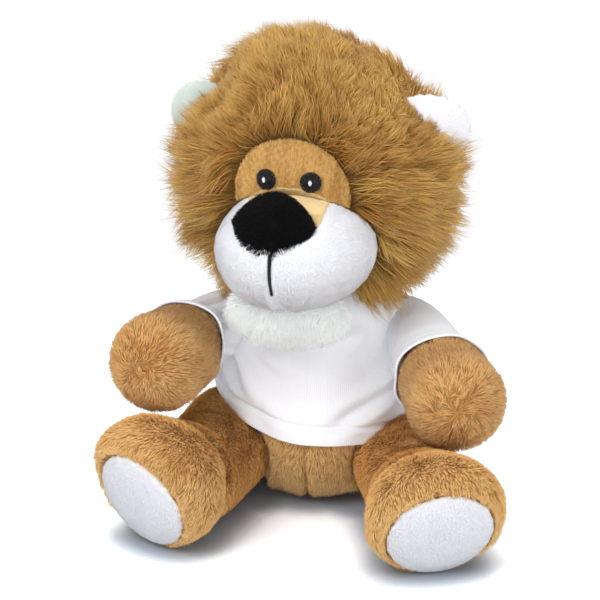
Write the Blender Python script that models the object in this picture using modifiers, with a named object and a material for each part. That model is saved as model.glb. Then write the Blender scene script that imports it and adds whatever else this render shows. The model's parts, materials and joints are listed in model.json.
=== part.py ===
"""A sitting plush lion in a T-shirt, about 150 mm tall, sewn and stuffed.

Metres, +Z up. The origin is on the floor under the middle of the torso, the chest faces -Y
and the lion's left side is +X. Every stuffed form stands for the outside of its pile.
"""

import math

import bmesh
import bpy
from mathutils import Matrix, Vector

# Clearances and cloth
GAP = 0.0003
OVERRUN = 0.02
CLOTH = 0.0012
KNIT = 0.001
BAND = 0.0016
FLOOR_FLAT = 0.0005
WELD = 0.0000001

# Torso
TORSO_RADIUS = 0.028
TORSO_WIDEST_HEIGHT = 0.02
TORSO_CROWN = 0.006
TORSO_FULLNESS_SHARE = 0.8
CHEST_WIDENING_SHARE = 0.2
TORSO_SEGMENTS = 24
TORSO_RINGS = 12

# Bean pouch in the seat
POUCH_INSET = 0.0165
POUCH_HALF_TALL = 0.008
POUCH_MOUTH_RADIUS = 0.004
POUCH_BACK = 0.006

# T-shirt
HEM_FRONT_HEIGHT = 0.0205
HEM_SIDE_HEIGHT = 0.026
BAND_HEIGHT = 0.0022
SLEEVE_LENGTH = 0.017

# Arms, with the photographed lift and turn of each
ARM_SEAM_INSET = 0.0005
SHOULDER_OUT = 0.0025
SHOULDER_FORWARD = 0.003
SHOULDER_HEIGHT = 0.05
NECK_OVER_SHOULDER = 0.016
ARMHOLE_EASE = 0.0025
ARM_ROOT_RADIUS = 0.0095
PAW_RADIUS = 0.0138
ARM_REACH = 0.042
PAW_OVER_LEG = {"left": -0.0006, "right": 0.0066}
LEFT_ARM_OUT_DEGREES = 21.0
RIGHT_ARM_OUT_DEGREES = 17.0

# Legs: hip places, leg and foot directions of each side
LEG_RADIUS = 0.0158
ANKLE_RADIUS = 0.0142
FOOT_RADIUS = 0.0188
FOOT_LENGTH = {"left": 0.016, "right": 0.019}
FOOT_DEPTH = 0.0165
SOLE_HEIGHT = {"left": 0.0147, "right": 0.016}
LEFT_SOLE_LEAN_DEGREES = 25.0
RIGHT_SOLE_LEAN_DEGREES = 19.0
ANKLE_HEIGHT = 0.0143
ANKLE_EASE = 0.001
HIP_INSET = {"left": 0.001, "right": 0.002}
HIP_FORWARD = {"left": 0.015, "right": 0.008}
LEG_REACH = {"left": 0.047, "right": 0.044}
LEFT_LEG_OUT_DEGREES = 13.0
RIGHT_LEG_OUT_DEGREES = 11.0
LEFT_FOOT_OUT_DEGREES = 19.0
RIGHT_FOOT_OUT_DEGREES = 36.0
LEG_SPLAY_DEGREES = 12.0
LEG_SOCKET_LENGTH = 0.026
LEG_SIDES = 20
PAD_RADIUS = 0.0158
PAD_CROWN = 0.0035
# share of a half turn round the thigh's end, and shares of the way to the ankle
THIGH_END_SHARES = (-0.25, -0.14, 0.0)
THIGH_SHARES = (0.3, 0.55, 0.75)
# share of the foot's length behind the sole, share of its radius
FOOT_RING_SHARES = ((0.65, 0.93), (0.4, 1.0), (0.18, 0.985), (0.0, 0.9))

# Tail
TAIL_RADIUS = 0.004
TAIL_TIP_RADIUS = 0.0032
TAIL_LENGTH = 0.026
TAIL_HEIGHT = 0.0085
TUFT_RADIUS = 0.006
TUFT_LENGTH = 0.018
TUFT_SEAT = 0.004
TUFT_HEIGHT = 0.0066

# Head, in its own frame: the origin is the neck, and the whole head is turned about Z
HEAD_TURN_DEGREES = -8.5
HEAD_HEIGHT = 0.037
SKULL_RADIUS = 0.033
SKULL_DOWN = 0.038
NECK_CLEAR_RADIUS = 0.0235
MANE_RADIUS = 0.045
MANE_UP = 0.0425
MANE_FRONT_REACH = 0.0415
MANE_DOWN = 0.04
MANE_SEAM_BACK = 0.006
HEAD_FULLNESS_SHARE = 0.85
FACE_WIDTH = 0.043
FACE_TALL = 0.04
FACE_DEPTH = 0.052
FACE_FORWARD = 0.044
FACE_DROP = 0.004
FACE_FULLNESS_SHARE = 0.9
FACE_CLOTH = 0.0015

MUZZLE_WIDTH = 0.049
MUZZLE_DEPTH = 0.052
MUZZLE_TALL = 0.035
MUZZLE_FORWARD = 0.03
MUZZLE_DROP = 0.0195
BRIDGE_WIDTH = 0.0235
BRIDGE_RISE = 0.0115

NOSE_WIDTH = 0.025
NOSE_TALL = 0.0185
NOSE_DEPTH = 0.012
NOSE_FORWARD = 0.0475
NOSE_DROP = 0.0075
NOSE_TILT_DEGREES = 20.0
NOSE_CORNER_SHARE = 0.3
MOUTH_RADIUS = 0.0004
MOUTH_FROM_DEGREES = -6.0
MOUTH_TO_DEGREES = 24.0
MOUTH_POINTS = 9

CHIN_WIDTH = 0.034
CHIN_THICK = 0.0125
CHIN_TALL = 0.015
CHIN_HANG = 0.0095
CHIN_FORWARD = 0.036

EYE_RADIUS = 0.0031
EYE_CROWN = 0.0009
EYE_SPREAD = 0.0067
EYE_OVER_MUZZLE = 0.0009
GLINT_WIDTH = 0.0011
GLINT_TALL = 0.0018
GLINT_CROWN = 0.0004

# Ears
EAR_RADIUS = 0.0105
EAR_HALF_THICK = 0.0021
EAR_BASE_LIFT = 0.001
EAR_CENTRE_OUT = 0.0045
EAR_RISE_DEGREES = 18.0
EAR_FOLD_DEGREES = 12.0
EAR_BACK = 0.001

POUCH_RADIUS = TORSO_RADIUS - POUCH_INSET
ARM_SEAM_SPREAD = TORSO_RADIUS - ARM_SEAM_INSET
SHOULDER_SPREAD = ARM_SEAM_SPREAD + SHOULDER_OUT
NECK_HEIGHT = SHOULDER_HEIGHT + NECK_OVER_SHOULDER
TORSO_UP = NECK_HEIGHT + TORSO_CROWN - TORSO_WIDEST_HEIGHT
EAR_BASE_REACH = SKULL_RADIUS + EAR_BASE_LIFT
EYE_DROP = MUZZLE_DROP - MUZZLE_TALL / 2 - EYE_RADIUS - EYE_OVER_MUZZLE

SIDES = {"left": 1.0, "right": -1.0}
ARM_OUT = {"left": LEFT_ARM_OUT_DEGREES, "right": RIGHT_ARM_OUT_DEGREES}
LEG_OUT = {"left": LEFT_LEG_OUT_DEGREES, "right": RIGHT_LEG_OUT_DEGREES}
FOOT_OUT = {"left": LEFT_FOOT_OUT_DEGREES, "right": RIGHT_FOOT_OUT_DEGREES}
SOLE_LEAN = {"left": LEFT_SOLE_LEAN_DEGREES, "right": RIGHT_SOLE_LEAN_DEGREES}
POLE_SHARE = 0.000001
UP = Vector((0, 0, 1))

# Colours, linear red, green, blue
TAN_PILE = (0.50, 0.24, 0.075)
MANE_PILE = (0.46, 0.23, 0.08)
FACE_PILE = (0.66, 0.38, 0.14)
CREAM_PILE = (0.86, 0.62, 0.30)
WHITE_PILE = (0.86, 0.87, 0.90)
CHIN_PILE = (0.78, 0.84, 0.80)
BLACK_PILE = (0.006, 0.006, 0.007)
STITCH_BLACK = (0.012, 0.012, 0.014)
STITCH_WHITE = (0.85, 0.85, 0.85)
SHIRT_KNIT = (0.80, 0.80, 0.82)
FIBRE_WHITE = (0.75, 0.75, 0.72)
POUCH_CLOTH = (0.60, 0.58, 0.52)
BEAN_PLASTIC = (0.55, 0.60, 0.66)
NAP_ROUGHNESS = 0.95
PLASTIC_ROUGHNESS = 0.45


def clear_scene():
    """Removes every object, so that the script starts from an empty scene."""
    for obj in list(bpy.data.objects):
        bpy.data.objects.remove(obj, do_unlink=True)


def new_collection(name, helper=False):
    """A collection in the scene; a helper one is left out of renders."""
    found = bpy.data.collections.new(name)
    found.hide_render = helper
    bpy.context.scene.collection.children.link(found)
    return found


clear_scene()
PARTS = new_collection("plush_lion")
CUTTERS = new_collection("plush_lion_cutters", helper=True)


def finish(obj, colour, roughness=NAP_ROUGHNESS):
    """Gives an object its own material."""
    material = bpy.data.materials.new(obj.name)
    material.use_nodes = True
    shader = material.node_tree.nodes["Principled BSDF"]
    shader.inputs["Base Color"].default_value = (*colour, 1.0)
    shader.inputs["Roughness"].default_value = roughness
    shader.inputs["Metallic"].default_value = 0.0
    obj.data.materials.append(material)
    return obj


def object_from(bm, name, collection, parent=None):
    """An object whose mesh is bm, shaded smooth, under a parent's frame."""
    mesh = bpy.data.meshes.new(name)
    bmesh.ops.recalc_face_normals(bm, faces=bm.faces)
    if bm.calc_volume(signed=True) < 0 and all(edge.is_manifold for edge in bm.edges):
        bmesh.ops.reverse_faces(bm, faces=bm.faces)
    bm.to_mesh(mesh)
    bm.free()
    mesh.shade_smooth()
    obj = bpy.data.objects.new(name, mesh)
    collection.objects.link(obj)
    obj.parent = parent
    return obj


def part(bm, name, parent=None):
    return object_from(bm, name, PARTS, parent)


def cutter(bm, name, parent=None):
    found = object_from(bm, name, CUTTERS, parent)
    found.hide_render = True
    found.display_type = "WIRE"
    return found


def pivot(name, place, parent=None, rotation=(0, 0, 0)):
    """An empty on a joint's axis."""
    empty = bpy.data.objects.new(name, None)
    empty.location = place
    empty.rotation_euler = rotation
    empty.parent = parent
    PARTS.objects.link(empty)
    return empty


def thicken(obj, thickness):
    """Turns an open surface into cloth of this thickness, inwards."""
    modifier = obj.modifiers.new("cloth", "SOLIDIFY")
    modifier.thickness = thickness
    modifier.offset = -1.0
    modifier.use_even_offset = True


def cut(obj, *tools, operation="DIFFERENCE"):
    for tool in tools:
        modifier = obj.modifiers.new(tool.name, "BOOLEAN")
        modifier.operation = operation
        modifier.solver = "EXACT"
        modifier.object = tool


def unit_ball(segments, rings):
    bm = bmesh.new()
    bmesh.ops.create_uvsphere(bm, u_segments=segments, v_segments=rings, radius=1.0)
    return bm


def egg(centre, side, depth, up, down, fullness_share=1.0, segments=24, rings=14):
    """A ball with its own radii; a fullness under 1 keeps its rings wide near the ends."""
    bm = unit_ball(segments, rings)
    for vert in bm.verts:
        x, y, z = vert.co
        ring = math.hypot(x, y)
        wide = ring ** (fullness_share - 1.0) if ring > POLE_SHARE else 0.0
        tall = up if z > 0 else down
        vert.co = Vector(centre) + Vector((x * wide * side, y * wide * depth, z * tall))
    return bm


def teardrop(direction, reach, root_radius, tip_radius, segments=20, rings=11, side_flare=0.0):
    """A round root at the origin and a round tip at its reach, joined by a straight taper.

    side_flare widens the tip level and square to the direction.
    """
    bm = unit_ball(segments, rings)
    turn = direction.to_track_quat("Z", "Y").to_matrix()
    level = UP.cross(direction).normalized()
    for vert in bm.verts:
        tip = vert.co.z > 0
        place = turn @ vert.co * (tip_radius if tip else root_radius)
        if tip:
            place += level * place.dot(level) / tip_radius * side_flare
            place += direction * reach
        vert.co = place
    return bm


def box(low, high):
    bm = bmesh.new()
    bmesh.ops.create_cube(bm, size=1.0)
    low, high = Vector(low), Vector(high)
    middle, size = (low + high) / 2, high - low
    for vert in bm.verts:
        vert.co = middle + Vector(c * s for c, s in zip(vert.co, size))
    return bm


def drum(centre, axis, radius, depth, segments=28):
    """A closed cylinder along axis, centred."""
    bm = bmesh.new()
    turn = axis.to_track_quat("Z", "Y").to_matrix().to_4x4()
    place = Matrix.Translation(centre) @ turn
    bmesh.ops.create_cone(
        bm, segments=segments, radius1=radius, radius2=radius, depth=depth, cap_ends=True, matrix=place
    )
    return bm


def trim(bm, place, outward, fill=True):
    """Removes what lies beyond a plane, on the side that outward points to."""
    geometry = list(bm.verts) + list(bm.edges) + list(bm.faces)
    bmesh.ops.bisect_plane(
        bm, geom=geometry, plane_co=place, plane_no=outward, clear_outer=True, dist=WELD
    )
    if fill:
        rim = [edge for edge in bm.edges if edge.is_boundary]
        bmesh.ops.edgeloop_fill(bm, edges=rim)
    return bm


def loft(rings, sides):
    """A closed form through rings of (centre, normal, radius), with a flat face on both ends."""
    bm = bmesh.new()
    loops = []
    for centre, normal, radius in rings:
        level = UP.cross(normal).normalized()
        steep = normal.cross(level)
        turns = [2 * math.pi * i / sides for i in range(sides)]
        loops.append(
            [bm.verts.new(centre + radius * (math.cos(a) * level + math.sin(a) * steep)) for a in turns]
        )
    for near, far in zip(loops, loops[1:]):
        for i in range(sides):
            j = (i + 1) % sides
            bm.faces.new((near[i], near[j], far[j], far[i]))
    bm.faces.new(loops[0][::-1])
    bm.faces.new(loops[-1])
    return bm


def level_direction(side, out_degrees):
    """Forward, turned outwards by this angle."""
    out = math.radians(out_degrees)
    return Vector((side * math.sin(out), -math.cos(out), 0))


def torso_form(grow=0.0):
    """The torso's pear shape, larger all over by grow."""
    bm = egg(
        (0, 0, TORSO_WIDEST_HEIGHT),
        TORSO_RADIUS + grow,
        TORSO_RADIUS + grow,
        TORSO_UP + grow,
        TORSO_WIDEST_HEIGHT + FLOOR_FLAT + grow,
        TORSO_FULLNESS_SHARE,
        TORSO_SEGMENTS,
        TORSO_RINGS,
    )
    for vert in bm.verts:
        climb = (vert.co.z - TORSO_WIDEST_HEIGHT) / (NECK_HEIGHT - TORSO_WIDEST_HEIGHT)
        climb = min(max(climb, 0.0), 1.0)
        vert.co.x *= 1.0 + CHEST_WIDENING_SHARE * climb
    return bm


def floor_space():
    """Everything under the floor."""
    reach = FOOT_RADIUS + SHOULDER_SPREAD + LEG_REACH["left"] + OVERRUN
    return cutter(box((-reach, -reach, -OVERRUN), (reach, reach, 0)), "floor_space")


FLOOR = floor_space()


def hip_place(name):
    """The hip's pivot, at the middle of the thigh."""
    spread = SIDES[name] * (TORSO_RADIUS - HIP_INSET[name])
    return Vector((spread, -HIP_FORWARD[name], LEG_RADIUS - FLOOR_FLAT))


def shoulder_place(name):
    return Vector((SIDES[name] * SHOULDER_SPREAD, -SHOULDER_FORWARD, SHOULDER_HEIGHT))


def leg_space(name):
    """What a leg sweeps inside the torso as it splays, with its clearance."""
    direction = level_direction(SIDES[name], LEG_OUT[name])
    radius = LEG_RADIUS + GAP + GAP
    flare = LEG_SOCKET_LENGTH * math.tan(math.radians(LEG_SPLAY_DEGREES))
    bm = teardrop(direction, LEG_SOCKET_LENGTH, radius, radius, 24, 13, flare)
    found = cutter(bm, f"leg_space_{name}")
    found.location = hip_place(name)
    return found


def arm_space(name):
    """The flat round seat of an arm in the torso and the shirt."""
    side = SIDES[name]
    radius = ARM_ROOT_RADIUS + GAP + KNIT + ARMHOLE_EASE
    centre = Vector((side * (ARM_SEAM_SPREAD + OVERRUN / 2), -SHOULDER_FORWARD, SHOULDER_HEIGHT))
    return cutter(drum(centre, Vector((1, 0, 0)), radius, OVERRUN), f"arm_space_{name}")


LIMB_SPACES = [leg_space(name) for name in SIDES] + [arm_space(name) for name in SIDES]


def tail_place():
    """On the torso's back, at the tail's height."""
    fall = (TORSO_WIDEST_HEIGHT - TAIL_HEIGHT) / (TORSO_WIDEST_HEIGHT + FLOOR_FLAT)
    return Vector((0, TORSO_RADIUS * math.sqrt(1 - fall**2) ** TORSO_FULLNESS_SHARE, TAIL_HEIGHT))


def tail_space():
    """The round seat that the tail's root turns in."""
    radius = TAIL_RADIUS + GAP
    return cutter(egg(tail_place(), radius, radius, radius, radius, 1.0, 16, 10), "tail_space")


TAIL_SPACE = tail_space()


def pouch_form(grow):
    """The bean pouch's shape, standing on the cloth of the seat."""
    centre = (0, POUCH_BACK, CLOTH + GAP + POUCH_HALF_TALL)
    radius, half_tall = POUCH_RADIUS + grow, POUCH_HALF_TALL + grow
    return egg(centre, radius, radius, half_tall, half_tall, 1.0, 14, 8)


def make_torso():
    top = Vector((0, 0, NECK_HEIGHT))
    cover = part(trim(torso_form(), top, UP), "torso_cover")
    hollow = cutter(torso_form(-CLOTH), "torso_hollow")
    cut(cover, hollow, FLOOR, *LIMB_SPACES, TAIL_SPACE)
    finish(cover, TAN_PILE)

    inner = trim(torso_form(-CLOTH - GAP), top, UP)
    stuffing = part(trim(inner, Vector((0, 0, CLOTH + GAP)), -UP), "torso_stuffing")
    shaft_middle = Vector((0, POUCH_BACK, CLOTH + GAP + POUCH_HALF_TALL - OVERRUN / 2))
    shaft = drum(shaft_middle, UP, POUCH_RADIUS + GAP, OVERRUN)
    pouch_space = cutter(pouch_form(GAP), "pouch_space")
    cut(stuffing, *LIMB_SPACES, TAIL_SPACE, cutter(shaft, "pouch_shaft"), pouch_space)
    finish(stuffing, FIBRE_WHITE)


def make_bean_pouch():
    mouth_share = math.sqrt(1 - (POUCH_MOUTH_RADIUS / POUCH_RADIUS) ** 2)
    mouth = Vector((0, 0, CLOTH + GAP + POUCH_HALF_TALL * (1 + mouth_share)))
    bag = part(trim(pouch_form(0.0), mouth, UP, fill=False), "bean_pouch")
    thicken(bag, KNIT)
    finish(bag, POUCH_CLOTH)
    beans = part(pouch_form(-KNIT - GAP), "bean_fill")
    finish(beans, BEAN_PLASTIC, PLASTIC_ROUGHNESS)


def shirt_form(thick, low, low_way, high):
    """The torso's shape with the shirt's thickness, cut level at the top and along the hem's plane."""
    bm = trim(torso_form(GAP + thick), Vector((0, 0, high)), UP)
    return trim(bm, Vector((0, 0, low)), low_way)


def make_shirt():
    seam_height = NECK_HEIGHT - BAND_HEIGHT - GAP
    hem_way = Vector((0, HEM_SIDE_HEIGHT - HEM_FRONT_HEIGHT, -TORSO_RADIUS)).normalized()
    inside = cutter(torso_form(GAP), "shirt_inside")
    for name, way in (("shirt_front", 1.0), ("shirt_back", -1.0)):
        whole = shirt_form(KNIT, HEM_SIDE_HEIGHT, hem_way, seam_height)
        seam = Vector((0, -way * GAP / 2, 0))
        panel = part(trim(whole, seam, Vector((0, way, 0))), name)
        cut(panel, inside, *LIMB_SPACES)
        finish(panel, SHIRT_KNIT)

    band = part(shirt_form(BAND, seam_height + GAP, -UP, NECK_HEIGHT), "shirt_neckband")
    cut(band, inside)
    finish(band, SHIRT_KNIT)


def make_arm(name):
    """An arm in the shoulder's frame: cover, stuffing and the shirt's sleeve round it."""
    side = SIDES[name]
    shoulder = pivot(f"shoulder_{name}", shoulder_place(name))
    paw_height = 2 * LEG_RADIUS + PAW_OVER_LEG[name] + PAW_RADIUS
    dip = math.asin((SHOULDER_HEIGHT - paw_height) / ARM_REACH)
    direction = level_direction(side, ARM_OUT[name]) * math.cos(dip) - UP * math.sin(dip)
    root = Vector((side * (ARM_SEAM_SPREAD + GAP - SHOULDER_SPREAD), 0, 0))
    inward = Vector((-side, 0, 0))

    bm = teardrop(direction, ARM_REACH, ARM_ROOT_RADIUS, PAW_RADIUS)
    cover = part(trim(bm, root, inward, fill=False), f"arm_{name}_cover", shoulder)
    thicken(cover, CLOTH)
    finish(cover, TAN_PILE)

    inset = CLOTH + GAP
    bm = teardrop(direction, ARM_REACH, ARM_ROOT_RADIUS - inset, PAW_RADIUS - inset)
    stuffing = part(trim(bm, root, inward), f"arm_{name}_stuffing", shoulder)
    finish(stuffing, FIBRE_WHITE)

    grown = GAP + KNIT
    bm = teardrop(direction, ARM_REACH, ARM_ROOT_RADIUS + grown, PAW_RADIUS + grown)
    trim(bm, root, inward, fill=False)
    trim(bm, direction * SLEEVE_LENGTH, direction, fill=False)
    sleeve = part(bm, f"sleeve_{name}", shoulder)
    thicken(sleeve, KNIT)
    finish(sleeve, SHIRT_KNIT)


def leg_rings(name, grow, past_ends=0.0):
    """The leg's rings from the root of the thigh to the sole, in the hip's frame.

    past_ends lengthens it at both ends, or shortens it where negative.
    """
    side = SIDES[name]
    direction = level_direction(side, LEG_OUT[name])
    radius = LEG_RADIUS + grow
    rings = []
    for turn_share in THIGH_END_SHARES:
        turn = turn_share * math.pi
        rings.append((direction * radius * math.sin(turn), direction, radius * math.cos(turn)))
    ankle = direction * LEG_REACH[name] + UP * (ANKLE_HEIGHT - LEG_RADIUS + FLOOR_FLAT)
    for share in THIGH_SHARES:
        rings.append((ankle * share, direction, radius + (ANKLE_RADIUS - LEG_RADIUS) * share))
    sole, facing = sole_place(name)
    for behind_share, radius_share in FOOT_RING_SHARES:
        centre = sole - facing * (FOOT_LENGTH[name] * behind_share)
        rings.append((centre, facing, FOOT_RADIUS * radius_share + grow))
    for end, way in ((0, -1.0), (-1, 1.0)):
        centre, normal, last = rings[end]
        rings[end] = (centre + normal * way * past_ends, normal, last)
    return rings


def sole_place(name):
    """The middle of the sole in the hip's frame, and the way that it faces."""
    side = SIDES[name]
    ankle = level_direction(side, LEG_OUT[name]) * LEG_REACH[name]
    forward = level_direction(side, FOOT_OUT[name])
    lean = math.radians(SOLE_LEAN[name])
    rise = SOLE_HEIGHT[name] - LEG_RADIUS + FLOOR_FLAT
    return ankle + forward * FOOT_DEPTH + UP * rise, forward * math.cos(lean) - UP * math.sin(lean)


def make_leg(name):
    """A leg in the hip's frame: cover open at the root and the sole, stuffing and sole pad."""
    hip = pivot(f"hip_{name}", hip_place(name))
    cover = part(loft(leg_rings(name, 0.0), LEG_SIDES), f"leg_{name}_cover", hip)
    hollow = cutter(loft(leg_rings(name, -CLOTH, GAP), LEG_SIDES), f"leg_hollow_{name}", hip)
    cut(cover, hollow, FLOOR)
    finish(cover, TAN_PILE)

    filling = leg_rings(name, -CLOTH - ANKLE_EASE)
    stuffing = part(loft(filling, LEG_SIDES), f"leg_{name}_stuffing", hip)
    finish(stuffing, FIBRE_WHITE)

    sole, facing = sole_place(name)
    bm = trim(egg((0, 0, 0), PAD_RADIUS, PAD_RADIUS, PAD_CROWN, PAD_CROWN, 1.0, 20, 8), Vector(), -UP)
    turn = facing.to_track_quat("Z", "Y").to_matrix().to_4x4()
    bmesh.ops.transform(bm, matrix=Matrix.Translation(sole + facing * GAP) @ turn, verts=bm.verts)
    pad = part(bm, f"foot_pad_{name}", hip)
    cut(pad, FLOOR)
    finish(pad, WHITE_PILE)


def make_tail():
    root = pivot("tail_root", tail_place())
    drop = TUFT_HEIGHT - TAIL_HEIGHT
    direction = Vector((0, math.sqrt(TAIL_LENGTH**2 - drop**2), drop)).normalized()
    bm = teardrop(direction, TAIL_LENGTH, TAIL_RADIUS, TAIL_TIP_RADIUS, 12, 9)
    end = direction * TAIL_LENGTH
    tail = part(trim(bm, end, direction), "tail", root)
    finish(tail, TAN_PILE)

    half = TUFT_LENGTH / 2
    centre = end + Vector((0, half - TUFT_SEAT, 0))
    tuft = part(egg(centre, TUFT_RADIUS, half, TUFT_RADIUS, TUFT_RADIUS, 1.0, 16, 10), "tail_tuft", root)
    cut(tuft, tail_clear(root, direction))
    finish(tuft, MANE_PILE)


def tail_clear(root, direction):
    """The tail with its clearance, for the tuft that grows round its tip."""
    bm = teardrop(direction, TAIL_LENGTH, TAIL_RADIUS + GAP, TAIL_TIP_RADIUS + GAP, 12, 9)
    return cutter(trim(bm, direction * (TAIL_LENGTH + GAP), direction), "tail_clear", root)


NECK = pivot("neck", (0, 0, NECK_HEIGHT), rotation=(0, 0, math.radians(HEAD_TURN_DEGREES)))


def skull_form(grow, segments=24, rings=14):
    radius = SKULL_RADIUS + grow
    centre = (0, 0, HEAD_HEIGHT)
    return egg(centre, radius, radius, radius, SKULL_DOWN + grow, HEAD_FULLNESS_SHARE, segments, rings)


def skull_radius_at(height, grow):
    """The skull form's radius at this height over the middle of the head, upper half."""
    share = height / (SKULL_RADIUS + grow)
    return (SKULL_RADIUS + grow) * math.sqrt(1 - share**2) ** HEAD_FULLNESS_SHARE


def muzzle_form(grow):
    centre = (0, -MUZZLE_FORWARD, HEAD_HEIGHT - MUZZLE_DROP)
    half_tall = MUZZLE_TALL / 2 + grow
    return egg(centre, MUZZLE_WIDTH / 2 + grow, MUZZLE_DEPTH / 2 + grow, half_tall, half_tall, 1.0, 24, 14)


def face_form(shrink):
    centre = (0, -FACE_FORWARD, HEAD_HEIGHT - FACE_DROP)
    half_tall = FACE_TALL / 2 - shrink
    wide, deep = FACE_WIDTH / 2 - shrink, FACE_DEPTH / 2 - shrink
    return egg(centre, wide, deep, half_tall, half_tall, FACE_FULLNESS_SHARE, 24, 14)


def nose_form(grow):
    """A pillow with pointed sides: its width falls off towards the top and the bottom."""
    half_tall = NOSE_TALL / 2 + grow
    bm = egg((0, 0, 0), NOSE_WIDTH / 2 + grow, NOSE_DEPTH / 2 + grow, half_tall, half_tall, 1.0, 20, 10)
    for vert in bm.verts:
        vert.co.x *= 1.0 - NOSE_CORNER_SHARE * abs(vert.co.z) / half_tall
    place = Matrix.Translation((0, -NOSE_FORWARD, HEAD_HEIGHT - NOSE_DROP))
    tilt = Matrix.Rotation(-math.radians(NOSE_TILT_DEGREES), 4, "X")
    bmesh.ops.transform(bm, matrix=place @ tilt, verts=bm.verts)
    return bm


def bridge_region(grow):
    """The column over the middle of the muzzle that the bridge panel covers."""
    half = BRIDGE_WIDTH / 2 + grow
    low = HEAD_HEIGHT - MUZZLE_DROP + BRIDGE_RISE - grow
    return box((-half, -MUZZLE_DEPTH - OVERRUN, low), (half, OVERRUN, HEAD_HEIGHT + OVERRUN))


def make_head():
    bottom = Vector((0, 0, GAP))
    stuffing = part(trim(skull_form(0.0), bottom, -UP), "head_stuffing", NECK)
    finish(stuffing, FIBRE_WHITE)

    skull_clear = cutter(skull_form(GAP), "skull_clear", NECK)
    face_clear = cutter(skull_form(FACE_CLOTH + GAP + GAP), "face_clear", NECK)
    muzzle_clear = cutter(muzzle_form(GAP), "muzzle_clear", NECK)
    face_space = cutter(face_form(0.0), "face_space", NECK)
    face_region = cutter(face_form(GAP), "face_region", NECK)
    nose_clear = cutter(nose_form(GAP), "nose_clear", NECK)
    neck_drum = drum(Vector((0, 0, GAP - OVERRUN / 2)), UP, NECK_CLEAR_RADIUS, OVERRUN)
    neck_clear = cutter(neck_drum, "neck_clear", NECK)

    bm = trim(skull_form(FACE_CLOTH + GAP, 32, 20), Vector(), Vector((0, 1, 0)), fill=False)
    face = part(trim(bm, bottom, -UP, fill=False), "face_panel", NECK)
    thicken(face, FACE_CLOTH)
    cut(face, face_region, operation="INTERSECT")
    cut(face, muzzle_clear)
    finish(face, FACE_PILE)

    bridge_outer = trim(muzzle_form(0.0), Vector((0, 0, HEAD_HEIGHT - MUZZLE_DROP)), -UP, fill=False)
    bridge = part(bridge_outer, "bridge_panel", NECK)
    thicken(bridge, FACE_CLOTH)
    cut(bridge, cutter(bridge_region(0.0), "bridge_region", NECK), operation="INTERSECT")
    cut(bridge, nose_clear, face_clear)
    finish(bridge, CREAM_PILE)

    bridge_space = cutter(bridge_region(GAP), "bridge_space", NECK)
    cut(bridge_space, cutter(muzzle_form(-FACE_CLOTH - GAP), "bridge_floor", NECK))
    for name, side in SIDES.items():
        bm = trim(muzzle_form(0.0), Vector((side * GAP / 2, 0, 0)), Vector((-side, 0, 0)))
        muzzle = part(bm, f"muzzle_{name}", NECK)
        cut(muzzle, face_clear, neck_clear, bridge_space, nose_clear)
        finish(muzzle, WHITE_PILE)

    finish(part(nose_form(0.0), "nose", NECK), BLACK_PILE)

    for name, way in (("mane_front", -1.0), ("mane_back", 1.0)):
        centre = (0, 0, HEAD_HEIGHT)
        reach = MANE_FRONT_REACH if way < 0 else MANE_RADIUS
        bm = egg(centre, MANE_RADIUS, reach, MANE_UP, MANE_DOWN, HEAD_FULLNESS_SHARE, 28, 14)
        trim(bm, bottom, -UP)
        trim(bm, Vector((0, MANE_SEAM_BACK + way * GAP / 2, 0)), Vector((0, -way, 0)))
        mane = part(bm, name, NECK)
        cut(mane, skull_clear, *EAR_SPACES)
        if way < 0:
            cut(mane, face_space, muzzle_clear)
        finish(mane, MANE_PILE)


def make_mouth():
    """One stitched line down the muzzle's seam, from under the nose to the chin."""
    curve = bpy.data.curves.new("mouth_stitch", "CURVE")
    curve.dimensions = "3D"
    curve.bevel_depth = MOUTH_RADIUS
    curve.bevel_resolution = 2
    curve.use_fill_caps = True
    spline = curve.splines.new("POLY")
    spline.points.add(MOUTH_POINTS - 1)
    off = GAP + MOUTH_RADIUS
    for i, point in enumerate(spline.points):
        share = i / (MOUTH_POINTS - 1)
        fall = math.radians(MOUTH_FROM_DEGREES + (MOUTH_TO_DEGREES - MOUTH_FROM_DEGREES) * share)
        y = -MUZZLE_FORWARD - (MUZZLE_DEPTH / 2 + off) * math.cos(fall)
        z = HEAD_HEIGHT - MUZZLE_DROP - (MUZZLE_TALL / 2 + off) * math.sin(fall)
        point.co = (0, y, z, 1)
    stitch = bpy.data.objects.new("mouth_stitch", curve)
    PARTS.objects.link(stitch)
    stitch.parent = NECK
    finish(stitch, STITCH_BLACK)


def make_chin():
    """The chin's tuft, hanging from the underside of the muzzle."""
    across = (CHIN_FORWARD - MUZZLE_FORWARD) / (MUZZLE_DEPTH / 2)
    under = HEAD_HEIGHT - MUZZLE_DROP - MUZZLE_TALL / 2 * math.sqrt(1 - across**2)
    centre = (0, -CHIN_FORWARD, under - CHIN_HANG + CHIN_TALL / 2)
    bm = egg(centre, CHIN_WIDTH / 2, CHIN_THICK / 2, CHIN_TALL / 2, CHIN_TALL / 2, 1.0, 16, 8)
    tuft = part(bm, "chin_tuft", NECK)
    cut(tuft, bpy.data.objects["muzzle_clear"])
    finish(tuft, CHIN_PILE)


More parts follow.
